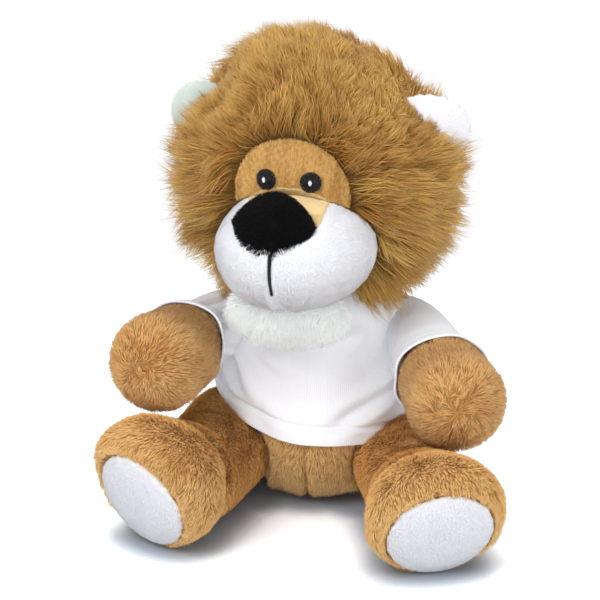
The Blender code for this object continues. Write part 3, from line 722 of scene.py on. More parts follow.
class LION_OT_stage(PieceOperator):
    """Pale floor, soft studio light and the camera"""

    bl_idname = "plush_lion.stage"
    bl_label = "Stage"

    target = Vector((-0.00554, -0.00042, 0.0577))
    azimuth, elevation, away = math.radians(6.5), math.radians(18.0), 0.75
    # Each lamp's place, size and power
    lamps = {
        "Key": ((-0.55, -0.75, 0.95), 0.7, 9.6),
        "Fill": ((0.9, -0.6, 0.5), 0.9, 4.0),
        "Top": ((0.1, 0.5, 1.1), 0.8, 5.0),
        "Front": ((0.1, -1.15, 0.14), 0.6, 4.8),
    }

    def make(self):
        level = math.cos(self.elevation)
        way = (math.sin(self.azimuth) * level, -math.cos(self.azimuth) * level, math.sin(self.elevation))
        lens = bpy.data.cameras.new("Camera")
        lens.lens = 145.2
        lens.sensor_width = 36.0
        camera = self.aimed(lens, self.target + Vector(way) * self.away, -Vector(way))
        bpy.context.scene.camera = camera
        bpy.context.scene.view_settings.view_transform = "Standard"
        for name, (place, size, power) in self.lamps.items():
            light = bpy.data.lights.new(name, "AREA")
            light.size = size
            light.energy = power
            self.aimed(light, place, self.target - Vector(place))
        self.sky(0.5)
        self.floor()

    def aimed(self, data, place, way):
        """An object for a camera or a light, turned this way."""
        obj = link(data.name, data)
        obj.location = place
        obj.rotation_euler = way.to_track_quat("-Z", "Y").to_euler()
        return obj

    def seen_directly(self, tree, unseen, seen):
        """One shader for rays from the camera, a mirror or glass, and another for the rest."""
        path = node(tree, "LightPath")
        first, second = node(tree, "Math", operation="MAXIMUM"), node(tree, "Math", operation="MAXIMUM")
        choose = node(tree, "MixShader")
        wire(
            tree,
            (path, "Is Camera Ray", first, 0),
            (path, "Is Glossy Ray", first, 1),
            (first, 0, second, 0),
            (path, "Is Transmission Ray", second, 1),
            (second, 0, choose, 0),
            (unseen, 0, choose, 1),
            (seen, 0, choose, 2),
        )
        return choose

    def sky(self, strength):
        world = bpy.data.worlds.new("Studio")
        world.use_nodes = True
        tree = world.node_tree
        light = tree.nodes["Background"]
        light.inputs["Color"].default_value = grey(1)
        light.inputs["Strength"].default_value = strength
        white = node(tree, "Background", {"Color": grey(1)})
        wire(tree, (self.seen_directly(tree, light, white), 0, tree.nodes["World Output"], "Surface"))
        bpy.context.scene.world = world

    def floor(self):
        """Pale paper that, seen directly, darkens close to the lion in a painted contact shadow and turns plain white
        further out.
        """
        bm = bmesh.new()
        bmesh.ops.create_circle(bm, cap_ends=True, segments=96, radius=4.0)
        mesh = bpy.data.meshes.new("Floor")
        bm.to_mesh(mesh)
        bm.free()
        floor = link("Floor", mesh)
        material = bpy.data.materials.new("Pale floor")
        material.use_nodes = True
        tree = material.node_tree
        tree.nodes.remove(tree.nodes["Principled BSDF"])
        paper = node(tree, "BsdfDiffuse", {"Color": (0.82, 0.85, 0.9, 1)})
        painted_contact_shadow = node(tree, "AmbientOcclusion", {"Distance": 0.013}, samples=8)
        lifted = node(tree, "AddShader")
        # Painted contact shadow: each layer's colour, tinted blue, darkens where the ambient occlusion finds the lion
        # close by
        for k, (darkest, palest, least) in enumerate(((0.30, 0.80, 0.25), (0.0, 0.66, 0.4))):
            lit = smooth_range(tree, from_min=least)
            dark = (darkest, darkest * 1.12, darkest * 1.3, 1)
            pale = (palest, palest * 1.05, palest * 1.12, 1)
            shaded = mix_colour(tree, {"A": dark, "B": pale})
            layer = node(tree, "BsdfDiffuse")
            wire(
                tree,
                (painted_contact_shadow, "AO", lit, "Value"),
                (lit, "Result", shaded, "Factor"),
                (shaded, "Result", layer, "Color"),
                (layer, 0, lifted, k),
            )
        white = node(tree, "Emission")
        place = node(tree, "TexCoord")
        from_middle = node(tree, "VectorMath", operation="LENGTH")
        far = smooth_range(tree, from_min=0.1, from_max=0.26)
        near_or_far = node(tree, "MixShader")
        wire(
            tree,
            (place, "Object", from_middle, 0),
            (from_middle, "Value", far, "Value"),
            (far, "Result", near_or_far, 0),
            (lifted, 0, near_or_far, 1),
            (white, 0, near_or_far, 2),
            (self.seen_directly(tree, paper, near_or_far), 0, tree.nodes["Material Output"], "Surface"),
        )
        floor.data.materials.append(material)


class LION_OT_torso(PieceOperator):
    """The torso's skin and the tan pile on the belly and back"""

    bl_idname = "plush_lion.torso"
    bl_label = "Torso"

    def make(self):
        s = sizes()
        nodes = ("torso_cover", "torso_stuffing", "bean_pouch", "bean_fill")
        skin = skin_from("torso_skin", nodes, voxel=0.0009, smoothing=14, sink=0.0014)
        points, normals = points_of(skin), normals_of(skin)
        dart = bell(points[:, 0], SEAM, 0.0009) * rise_between(0.004, -0.01, points[:, 1])
        dart *= rise_between(0.05, 0.03, points[:, 2])
        belly = rise_between(0.036, 0.026, points[:, 2])
        move_points(skin, points + normals * (belly * 0.0022 - dart * 0.0018)[:, None] + belly_shift(points))
        dress(skin, look("Tan backing"), "trunk", nodes)

        def keep(places, normals):
            above = rise_between(0.0008, 0.003, places[:, 2] - normals[:, 2] * 0.002)
            outwards = unit(places[:, :2])
            hem = hem_height(outwards[:, 0], outwards[:, 1])
            seam = bell(places[:, 0], SEAM, 0.0005) * (places[:, 1] < -0.004)
            return above * rise_between(hem + 0.005, hem + 0.0025, places[:, 2]) * (1 - seam)

        def comb(places, normals):
            return one_way(-UP, places) + np.sign(places[:, :1]) * np.array((0.15, 0, 0))

        # Painted light and shade: the pile lighter over the front of the belly, and darker along the dart's groove
        def shade(places, normals):
            seam = bell(places[:, 0], SEAM, 0.0010) * rise_between(0.004, -0.01, places[:, 1])
            return 0.46 * rise_between(0.0, -0.016, places[:, 1]) - 0.8 * seam

        pile(
            "torso_pile", "trunk", "tan_pile", skin, look("Tan body pile"), 6.0, s.body, s.body_strand, comb, 11,
            keep=keep, shade=shade, **TAN_PILE,
        )


class LION_OT_legs(PieceOperator):
    """Both legs with their white soles"""

    bl_idname = "plush_lion.legs"
    bl_label = "Legs"

    # How far each instep swells and each thigh sinks
    insteps = {"left": 0.0010, "right": 0.0022}
    thighs = {"left": 0.0050, "right": 0.0}

    def make(self):
        for name in SIDES:
            self.leg(name)

    def leg(self, name):
        s = sizes()
        body = f"leg_{name}"
        nodes = (f"leg_{name}_cover", f"leg_{name}_stuffing")
        low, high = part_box(f"foot_pad_{name}")
        hip = Vector(JOINTS[f"leg_{name}_splay"]["pos_m"])
        sole = (low + high) / 2
        way = np.array((sole - hip).normalized())
        hip, sole = np.array(hip), np.array(sole)
        skin = skin_from(f"leg_{name}_skin", nodes, voxel=0.0009, smoothing=12, sink=0.0011)
        points, normals = points_of(skin), normals_of(skin)
        off, height = distance(points, sole), points[:, 2]
        instep = bell(off, 0.02, 0.012) * (rise_between(0.012, 0.03, height) * rise_between(-0.3, 0.5, normals[:, 2]))
        rim = bell(off, 0.0185, 0.006) * rise_between(0.004, 0.012, height)
        behind = (points - sole) @ unit(way * np.array((1.0, 1.0, 0.0)))
        ankle = bell(behind, -0.0150, 0.0035) * rise_between(0.008, 0.02, height)
        thigh = bell(np.linalg.norm(points - hip - UP * 0.008, axis=1), 0, 0.019)
        thigh *= rise_between(0.012, 0.026, height) * self.thighs[name]
        grow = instep * self.insteps[name] + rim * 0.0013 - ankle * 0.0011
        move_points(skin, points + normals * grow[:, None] - UP * thigh[:, None])
        dress(skin, look("Tan backing"), body, nodes)

        pad_node = (f"foot_pad_{name}",)
        pad = skin_from(f"sole_{name}_skin", pad_node, voxel=0.0006, smoothing=4, sink=-0.0003)
        dress(pad, look("White backing"), body, pad_node)
        pad_normals = normals_of(pad)
        facing = np.array(unit((pad_normals * (pad_normals @ np.array((0, -1.0, 0)) > 0.3)[:, None]).sum(0)))

        def off_axis(places):
            away = places - sole
            return away - np.outer(away @ facing, facing)

        def on_leg(places, normals):
            on_sole = (dots(normals, facing) > 0.75) & (np.linalg.norm(off_axis(places), axis=1) < 0.0155)
            on_sole &= ((places - sole) @ facing) > -0.006
            return rise_between(0.0006, 0.0026, places[:, 2] - normals[:, 2] * 0.0015) * ~on_sole

        # Painted light and shade: the pile lighter round the sole's rim, and darker up the leg away from the sole,
        # where the arm shades it
        def shade(places, normals):
            near = bell(distance(places, sole), 0.0175, 0.005)
            return 0.44 * near - 0.4 * rise_between(-0.013, -0.03, (places - sole) @ facing)

        def comb(places, normals):
            near_sole = rise_between(-0.02, -0.004, (places - sole) @ facing)[:, None]
            return way * (1 - near_sole) + (unit(off_axis(places)) * 0.5 + facing) * near_sole - UP * 0.3

        pile(
            f"leg_{name}_pile", body, "tan_pile", skin, look("Tan body pile"), 6.0, s.body, s.body_strand, comb,
            21 + int(SIDES[name]), keep=on_leg, stand=LIMB_STAND, shade=shade, **TAN_PILE,
        )

        def on_pad(places, normals):
            return rise_between(0.0, 0.4, dots(normals, facing))

        def pad_comb(places, normals):
            return one_way(-UP, places) + off_axis(places) * 30

        pile(
            f"sole_{name}_pile", body, "white_pile", pad, look("White velvet pile"), 20.0, s.velvet, s.velvet_strand,
            pad_comb, 31 + int(SIDES[name]), rings=1, keep=on_pad, stand=(0.5, 0.4), stray=0.4,
        )


class LION_OT_arms(PieceOperator):
    """Both arms, with the pile turning out from a whorl on each paw"""

    bl_idname = "plush_lion.arms"
    bl_label = "Arms"

    whorls = {"left": (0.0463, -0.0545, 0.0430), "right": (-0.0475, -0.0545, 0.0515)}
    sags = {"left": 0.0025, "right": 0.0008}

    def make(self):
        for name in SIDES:
            self.arm(name)

    def arm(self, name):
        s = sizes()
        body = f"arm_{name}"
        nodes = (f"arm_{name}_cover", f"arm_{name}_stuffing")
        skin = skin_from(f"arm_{name}_skin", nodes, voxel=0.0009, smoothing=12, sink=0.0)
        shoulder, way, _, steep = arm_frame(name)
        self.pinch(skin, shoulder, SLEEVE_ENDS[name], self.sags[name])
        dress(skin, look("Tan backing"), body, nodes)
        whorl = np.array(self.whorls[name])

        def keep(places, normals):
            away = places - shoulder
            across = unit(away - np.outer(away @ way, way))
            cuff = SLEEVE_ENDS[name] + SLEEVE_TILTS[name] * (across @ steep)
            return rise_between(cuff, cuff + 0.0012, away @ way)

        def comb(places, normals):
            away = unit(places - whorl)
            turned = np.cross(away, normals)
            near = bell(distance(places, whorl), 0, 0.009)[:, None]
            tangled = ripples(places, 3.5 * MM, 47)
            return away * (1 - 0.6 * near) + turned * 0.5 * near + tangled * 0.7 * near

        pile(
            f"arm_{name}_pile", body, "tan_pile", skin, look("Tan body pile"), 6.0, s.body, s.body_strand, comb,
            41 + int(SIDES[name]), keep=keep, stand=LIMB_STAND, **TAN_PILE,
        )

    def pinch(self, skin, shoulder, cuff, sag):
        """Narrows the arm where the sleeve holds it, and lets the paw sag."""
        points, normals = points_of(skin), normals_of(skin)
        away = distance(points, shoulder)
        held = rise_between(cuff + 0.003, cuff - 0.007, away)
        held = held * 0.0018 + 0.0020 * rise_between(0.016, 0.010, away)
        points = points - normals * held[:, None]
        points[:, 2] -= sag * rise_between(0.012, 0.045, away)
        move_points(skin, points)


class LION_OT_tail(PieceOperator):
    """The tail and its tuft"""

    bl_idname = "plush_lion.tail"
    bl_label = "Tail"

    def make(self):
        s = sizes()
        skin = skin_from("tail_skin", ("tail",), voxel=0.0007, smoothing=4, sink=0.0010)
        dress(skin, look("Tan backing"), "tail_body", ("tail",))
        tuft = skin_from("tail_tuft_skin", ("tail_tuft",), voxel=0.0007, smoothing=4, sink=0.0035)
        dress(tuft, look("Mane backing"), "tail_body", ("tail_tuft",))

        def comb(places, normals):
            return one_way((0.0, 1.0, -0.1), places)

        pile(
            "tail_pile", "tail_body", "tan_pile", skin, look("Tan body pile"), 4.0, s.body * 0.75, s.body_strand, comb,
            51, stand=(0.7, 0.3), lock=12, small_lock=4, gathered=0.5,
        )
        pile(
            "tail_tuft_pile", "tail_body", "mane_pile", tuft, look("Mane hair"), 6.0, s.tuft, s.mane_strand, comb, 52,
            rings=3, stand=(0.7, 0.1), lock=25, small_lock=6, gathered=0.7,
        )


class LION_OT_head(PieceOperator):
    """Skull skin with the face, the bridge and the muzzle on it"""

    bl_idname = "plush_lion.head"
    bl_label = "Face and muzzle"

    def make(self):
        self.face(sizes(), colours())
        self.muzzle(sizes())

    def face(self, s, c):
        backing = skin_material("Face backing", scaled(c.face_dark, 0.8), scaled(c.face_light, 0.85))
        velvet = pile_material("Face pile", c.face_dark, c.face_light, 0.75)
        cream = skin_material("Bridge backing", scaled(c.bridge, 0.8), c.bridge)
        cream_pile = pile_material("Bridge pile", scaled(c.bridge, 0.94), c.bridge, 0.97)
        skin = skin_from("face_skin", ("face_panel",), voxel=0.0004, smoothing=2, sink=-0.0001)
        dress(skin, backing, "head", ("face_panel",))
        centre = np.array(SKULL_CENTRE)

        def outward(places, normals):
            return (dots(normals, unit(places - centre)) > 0.3).astype(float)

        def on_arc(places):
            """The cream band's own arch over the nose, above the muzzle's seam."""
            local = in_head(places)
            arch = 0.0024 * np.clip(1 - (local[:, 0] / 0.0135) ** 2, 0, 1)
            return within(local, MUZZLE_MIDDLE, MUZZLE_HALF + arch[:, None]) & (np.abs(local[:, 0]) < 0.0125)

        def on_face(places, normals):
            return outward(places, normals) * ~on_arc(places)

        def over_nose(places, normals):
            return outward(places, normals) * on_arc(places)

        def comb(places, normals):
            return one_way(UP, places) * 0.9 + (places - centre) * 6

        def down(places, normals):
            return one_way(-UP, places)

        def flecks(places, normals):
            local = in_head(places)
            streaks = ripple(local * np.array((1.0, 0.3, 0.35)), 3.2 * MM, 63)
            fine = ripple(local * np.array((1.0, 0.4, 0.4)), 1.1 * MM, 64)
            # Painted shade: the pile darker towards the lion's left side, where less light falls; the streaks and fine
            # ripples are the pile's own flecks
            shaded_side = rise_between(0.006, 0.017, local[:, 0])
            return 0.16 * streaks + 0.26 * fine - 0.28 * shaded_side + 0.16

        pile(
            "face_pile", "head", "face_pile", skin, velvet, 24.0, s.velvet * 1.4, s.velvet_strand, comb, 61,
            rings=1, keep=on_face, stand=(0.9, 0.7), stray=0.25, lock=6, gathered=0.35, shade=flecks,
        )
        pile(
            "bridge_top_pile", "head", "cream_pile", skin, cream_pile, 44.0, s.velvet * 2, s.velvet_strand * 1.3,
            down, 65, rings=1, keep=over_nose, stand=(0.5, 0.3), stray=0.2,
        )
        bridge = skin_from("bridge_skin", ("bridge_panel",), voxel=0.0004, smoothing=2, sink=-0.0004)
        dress(bridge, cream, "head", ("bridge_panel",))
        pile(
            "bridge_pile", "head", "cream_pile", bridge, cream_pile, 24.0, s.velvet, s.velvet_strand, comb, 66,
            rings=1, keep=outward, stand=(0.9, 0.7), stray=0.2,
        )

    def muzzle(self, s):
        nodes = ("muzzle_left", "muzzle_right")
        skin = skin_from("muzzle_skin", nodes, voxel=0.0006, smoothing=2, sink=-0.0004)
        points, normals = points_of(skin), normals_of(skin)
        local = in_head(points)
        groove = bell(local[:, 0], 0, 0.0011) * rise_between(-0.03, -0.045, local[:, 1])
        groove *= rise_between(0.029, 0.025, local[:, 2])
        narrowed = rise_between(-0.008, -0.023, local[:, 0]) * 0.0020
        move_points(skin, points - normals * (groove * 0.0013)[:, None] + np.outer(narrowed, SIDE_WAY))
        dress(skin, look("White backing"), "head", nodes)
        middle = np.array(HEAD @ Vector(MUZZLE_MIDDLE))

        def comb(places, normals):
            return (places - middle) * 20 - UP * 0.4

        def front(places, normals):
            return rise_between(-0.6, -0.2, dots(normals, FACE_WAY))

        pile(
            "muzzle_pile", "head", "white_pile", skin, look("White velvet pile"), 22.0, s.velvet, s.velvet_strand,
            comb, 71, rings=1, keep=front, stand=(0.5, 0.4), stray=0.3,
        )


class LION_OT_mane(PieceOperator):
    """The long mane, in locks that sweep out from the face"""

    bl_idname = "plush_lion.mane"
    bl_label = "Mane"

    def make(self):
        s = sizes()
        skin = skin_from("head_skin", ("head_stuffing",), voxel=0.0012, smoothing=12, sink=0.0)
        nodes = ("mane_front", "mane_back", "head_stuffing")
        dress(skin, look("Mane backing"), "head", nodes)
        turn = np.array(HEAD.to_3x3())

        def keep(places, normals):
            local = in_head(places)
            side, front, height = local.T
            bare = within(local, FACE_MIDDLE, FACE_HALF) | within(local, MUZZLE_MIDDLE, MUZZLE_HALF)
            under = (height < 0.0045) | ((height < 0.016) & (np.abs(side) < 0.014) & (front < 0))
            return 1.0 - (bare | under)

        def comb(places, normals):
            side, front, height = in_head(places).T
            away = unit(np.stack((side, np.zeros(len(side)), height - 0.032), axis=1))
            back = rise_between(0.004, 0.026, front)[:, None]
            lie = away + np.array((0, 0.35, 0.0)) - np.outer(rise_between(0.044, 0.06, height), (0.3, 0, 0))
            lie = lie * (1 - back) + np.array((0, 0.25, -1.0)) * back
            return lie @ turn.T

        def grown(places, normals):
            """Shorter beside the face, over the top and where an ear comes out, and fuller on the right."""
            side, front, height = in_head(places).T
            near_face = rise_between(-0.018, -0.029, front)
            top = rise_between(0.046, 0.066, height)
            ear = np.exp(-(((np.abs(side) - 0.023) / 0.013) ** 2) - ((height - 0.056) / 0.012) ** 2)
            ear *= rise_between(0.008, 0.002, front) * np.where(side > 0, 0.85, 0.72)
            lean = np.interp(side, (-0.026, -0.012, 0.0, 0.012, 0.024), (-0.30, -0.14, 0.10, 0.18, 0.2))
            lean *= rise_between(0.038, 0.056, height)
            full = (1 - 0.10 * near_face) * (1 - 0.28 * top) * (1 - ear) * (1 - lean)
            return full * (1 + 0.08 * ripple(places, 16 * MM, 83))

        def flat(places, normals):
            side, _, height = in_head(places).T
            return 1 - 0.6 * (rise_between(0.040, 0.056, height) * rise_between(0.0, 0.016, side))

        # Painted shade: the hair darker near the face; the ripple is the hair's own uneven tone
        def shade(places, normals):
            front = in_head(places)[:, 1]
            return -0.34 * rise_between(-0.018, -0.028, front) + 0.14 * ripple(places, 7 * MM, 85)

        same = {"keep": keep, "grown": grown, "flat": flat, "shade": shade, **MANE_PILE}
        pile(
            "mane_undercoat", "head", "mane_pile", skin, look("Mane hair"), 4.0, s.mane * 0.74, s.mane_strand, comb,
            81, rings=3, stand=(1.6, 0.7), fall=0.2, lock=40, small_lock=8, gathered=0.45, stray=0.28, wander=0.45,
            **same,
        )
        pile(
            "mane_hair", "head", "mane_pile", skin, look("Mane hair"), 3.2, s.mane, s.mane_strand, comb, 82, rings=4,
            stand=(1.6, 0.75), fall=0.28, lock=64, small_lock=9, gathered=0.6, stray=0.26, wander=0.5, **same,
        )


class LION_OT_chin(PieceOperator):
    """The fluffy white tuft under the mouth"""

    bl_idname = "plush_lion.chin"
    bl_label = "Chin tuft"

    def make(self):
        s, c = sizes(), colours()
        skin = skin_from("chin_skin", ("chin_tuft",), voxel=0.0007, smoothing=4, sink=-0.0006)
        dress(skin, look("White backing"), "head", ("chin_tuft",))
        fluff = pile_material("Chin fluff", scaled(c.chin, 0.84), c.chin, 0.94, 0.9, 0.5)

        # Painted light: a faint glow that brightens the tuft in the muzzle's shade, standing in for the light that
        # passes through thin white fibres
        shader = fluff.node_tree.nodes["Principled BSDF"]
        shader.inputs["Emission Color"].default_value = scaled(c.chin)
        shader.inputs["Emission Strength"].default_value = 0.12

        def comb(places, normals):
            return one_way(-UP, places) + FACE_WAY * 0.5

        def low(places, normals):
            return rise_between(-0.9, -0.2, dots(normals, FACE_WAY))

        pile(
            "chin_fluff", "head", "chin_pile", skin, fluff, 9.0, s.chin, s.velvet_strand * 1.4, comb, 91, rings=3,
            keep=low, stand=(1.3, 0.7), fall=0.1, lock=26, small_lock=7, gathered=0.4, stray=0.35, uneven=(0.45, 1.0),
            frizz=0.1, wander=0.5,
        )


class LION_OT_nose_and_mouth(PieceOperator):
    """The black plush nose and the twisted thread below it"""

    bl_idname = "plush_lion.nose_and_mouth"
    bl_label = "Nose and mouth"

    def make(self):
        s, c = sizes(), colours()
        skin = skin_from("nose_skin", ("nose",), voxel=0.0005, smoothing=4, sink=0.0008)
        points, normals = points_of(skin), normals_of(skin)
        side, _, height = in_head(points).T
        crease = bell(side, 0, 0.0008) * rise_between(0.0275, 0.0255, height)
        longer = rise_between(0.030, 0.0235, height)
        shift = np.outer(longer, -0.0030 * UP + 0.0020 * FACE_WAY) - 0.0009 * SIDE_WAY
        move_points(skin, points - normals * (crease * 0.0012)[:, None] + shift)
        dress(skin, look("Black backing"), "head", ("nose",))
        fuzz = pile_material("Nose fuzz", scaled(c.black, 0.5), scaled(c.black, 1.3), 0.6, 0.95, 0.0)
        middle = np.array(HEAD @ Vector(NOSE_MIDDLE))

        def comb(places, normals):
            return (places - middle) * 60

        def off_crease(places, normals):
            side, _, height = in_head(places).T
            return 1 - bell(side, 0, 0.0005) * (height < 0.0265)

        pile(
            "nose_pile", "head", "black_pile", skin, fuzz, 16.0, s.nose, s.velvet_strand * 1.4, comb, 101,
            keep=off_crease, stand=(1.6, 1.1), lock=8, gathered=0.4, stray=0.35,
        )
        self.mouth(c)

    def mouth(self, c):
        """Two plies twisted round each other, laid in the groove of the muzzle."""
        rise, from_degrees, turned_degrees, twists, steps, rows = 0.0006, -12, 31, 7, 160, 40
        tree = BVHTree.FromObject(bpy.data.objects["muzzle_skin"], bpy.context.evaluated_depsgraph_get())
        centre = HEAD @ Vector(MUZZLE_MIDDLE)
        line = []
        for k in range(rows):
            angle = math.radians(from_degrees + turned_degrees * k / (rows - 1))
            way = HEAD.to_3x3() @ Vector((0, -math.cos(angle), -math.sin(angle)))
            hit = tree.ray_cast(centre + way * 0.06, -way)[0]
            if hit is None:
                raise RuntimeError("the mouth thread found no muzzle under it")
            line.append((hit + way * rise, way))
        curve = bpy.data.curves.new("mouth_thread", "CURVE")
        curve.dimensions = "3D"
        curve.bevel_depth = 0.00032
        curve.bevel_resolution = 3
        across = Vector(SIDE_WAY)
        for ply in range(2):
            spline = curve.splines.new("POLY")
            spline.points.add(steps - 1)
            for i in range(steps):
                at = i / (steps - 1) * (rows - 1)
                k = min(int(at), rows - 2)
                place = line[k][0].lerp(line[k + 1][0], at - k)
                out = line[k][1].lerp(line[k + 1][1], at - k)
                turn = math.pi * ply + i / (steps - 1) * 2 * math.pi * twists
                slim = 1.15 - 0.4 * i / (steps - 1)
                offset = (across * math.cos(turn) + out * math.sin(turn)) * 0.00026 * slim
                spline.points[i].co = (*(place + offset), 1)
                spline.points[i].radius = slim
        made = link("mouth_thread", curve)
        settled = bpy.data.meshes.new_from_object(made.evaluated_get(bpy.context.evaluated_depsgraph_get()))
        bpy.data.objects.remove(made)
        shade_smooth(settled)
        black = skin_material("Black thread", c.black, scaled(c.black, 2.5), 900.0, 4000.0, 0.6)
        dress(link("mouth_thread", settled), black, "head", ("mouth_stitch",))


class LION_OT_eyes(PieceOperator):
    """Embroidered eyes: satin stitches from a dark ring, with a white glint"""

    bl_idname = "plush_lion.eyes"
    bl_label = "Eyes"

    radius = 0.00305
    width, glint_width = 0.00034, 0.00022

    def make(self):
        c = colours()
        thread = pile_material("Eye thread", scaled(c.black, 0.7), scaled(c.black, 4.0), 0.6, 0.45)
        glint = pile_material("Glint thread", scaled(c.white, 0.75), scaled(c.white, 0.95), 0.9, 0.5)
        for k, name in enumerate(SIDES):
            self.eye(name, thread, glint, 111 + k)

    def frame_of(self, name):
        """The eye's middle, the way that it faces, and its own side and up."""
        low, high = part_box(f"eye_{name}")
        middle = (low + high) / 2
        facing = (middle - SKULL_CENTRE).normalized()
        side = Vector(UP).cross(facing).normalized()
        return (np.array(v) for v in (middle, facing, side, facing.cross(side)))

    def stitches(self, name, material, slot, starts, ends, width, shades, bulge, facing, rng, replaced=()):
        """Short stitches that rise over the middle of their length."""
        t = np.linspace(0, 1, 5)[None, :, None]
        lift = np.sin(np.pi * t) * bulge
        paths = starts[:, None] * (1 - t) + ends[:, None] * t + facing * lift
        dress(strand_mesh(name, paths, width, shades, rng, taper=0.15), material, "head", replaced)

    def eye(self, name, thread, glint, seed):
        rng = np.random.default_rng(seed)
        base, facing, side, above = self.frame_of(name)
        front = base + facing * 0.0006

        count = 72
        turns = np.linspace(0, 2 * np.pi, count, endpoint=False) + rng.normal(0, 0.02, count)
        spokes = np.outer(np.cos(turns), side) + np.outer(np.sin(turns), above)
        outer = front + spokes * (self.radius * rng.uniform(0.97, 1.05, count))[:, None] - facing * 0.0006
        inner = front + spokes * (self.radius * rng.uniform(0.5, 0.62, count))[:, None]
        self.stitches(
            f"eye_{name}_rim", thread, "black_thread", outer, inner, self.width, rng.uniform(0.35, 0.8, count),
            0.0004, facing, rng,
        )

        count = 34
        rows = np.linspace(-1, 1, count)
        half = np.outer(np.sqrt(np.maximum(0.0, 1 - rows**2)) * self.radius * 0.68, above)
        lines = front + np.outer(rows * self.radius * 0.68, side)
        self.stitches(
            f"eye_{name}_satin", thread, "black_thread", lines - half, lines + half, self.width,
            rng.uniform(0.05, 0.4, count), 0.0005, facing, rng,
        )

        count = 9
        rows = np.linspace(-1, 1, count)
        half = np.outer(np.sqrt(np.maximum(0.0, 1 - rows**2 * 0.9)) * 0.0009, above)
        lines = base + facing * 0.0011 - side * 0.0002 + above * 0.0001 + np.outer(rows * 0.00042, side)
        self.stitches(
            f"eye_{name}_glint", glint, "white_thread", lines - half, lines + half, self.glint_width,
            rng.uniform(0.5, 1.0, count), 0.00025, facing, rng, (f"eye_glint_{name}",),
        )

        disc = skin_from(f"eye_{name}_base", (f"eye_{name}",), voxel=0.0004, smoothing=3, sink=0.0002)
        dress(disc, look("Black backing"), "head", (f"eye_{name}",))


class LION_OT_ears(PieceOperator):
    """Both ears, white inside and tan behind"""

    bl_idname = "plush_lion.ears"
    bl_label = "Ears"

    # How much wider each ear runs in under the mane
    widths = {"left": 1.28, "right": 1.0}

    def make(self):
        c = colours()
        for name, inside in (("left", c.white), ("right", c.minty)):
            self.ear(name, inside)

    def widened(self, name, part, smoothing, sink, material, slot):
        """The skin of one cloth of an ear and the middle of its solid."""
        side, node_name = SIDES[name], f"ear_{name}_{part}"
        skin = skin_from(f"{node_name}_skin", (node_name,), 0.0004, smoothing, sink)
        dress(skin, material, f"ear_{name}", (node_name,))
        points = points_of(skin)
        tip = (points[:, 0] * side).max()
        points[:, 0] = side * (tip - (tip - points[:, 0] * side) * self.widths[name])
        move_points(skin, points)
        return skin, sum((np.array(v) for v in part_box(node_name)), np.zeros(3)) / 2

    def ear(self, name, inside):
        s = sizes()
        backing = skin_material(f"Ear backing {name}", scaled(inside, 0.85), inside)
        velvet = pile_material(f"Ear pile {name}", scaled(inside, 0.88), inside, 0.85)
        front, middle = self.widened(name, "front", 10, 0.0, backing, "white_pile")
        back, behind = self.widened(name, "back", 12, 0.0003, look("Tan backing"), "tan_pile")
        facing = unit(middle - behind)

        def comb(places, normals):
            return (places - middle) * 60 + UP * 0.2

        def inwards(places, normals):
            return (behind - places) * 60

        def on_front(places, normals):
            return rise_between(0.0, 0.3, dots(normals, facing))

        def on_back(places, normals):
            return rise_between(-0.6, -0.85, dots(normals, facing))

        pile(
            f"ear_{name}_front_pile", f"ear_{name}", "white_pile", front, velvet, 18.0, s.velvet, s.velvet_strand,
            comb, 121 + int(SIDES[name]), rings=1, keep=on_front, stand=(1.0, 0.8), stray=0.2,
        )
        pile(
            f"ear_{name}_back_pile", f"ear_{name}", "tan_pile", back, look("Tan body pile"), 6.0, s.body * 0.5,
            s.body_strand, inwards, 131 + int(SIDES[name]), keep=on_back, stand=(0.7, 0.3), stray=0.2, lock=8,
            gathered=0.5,
        )


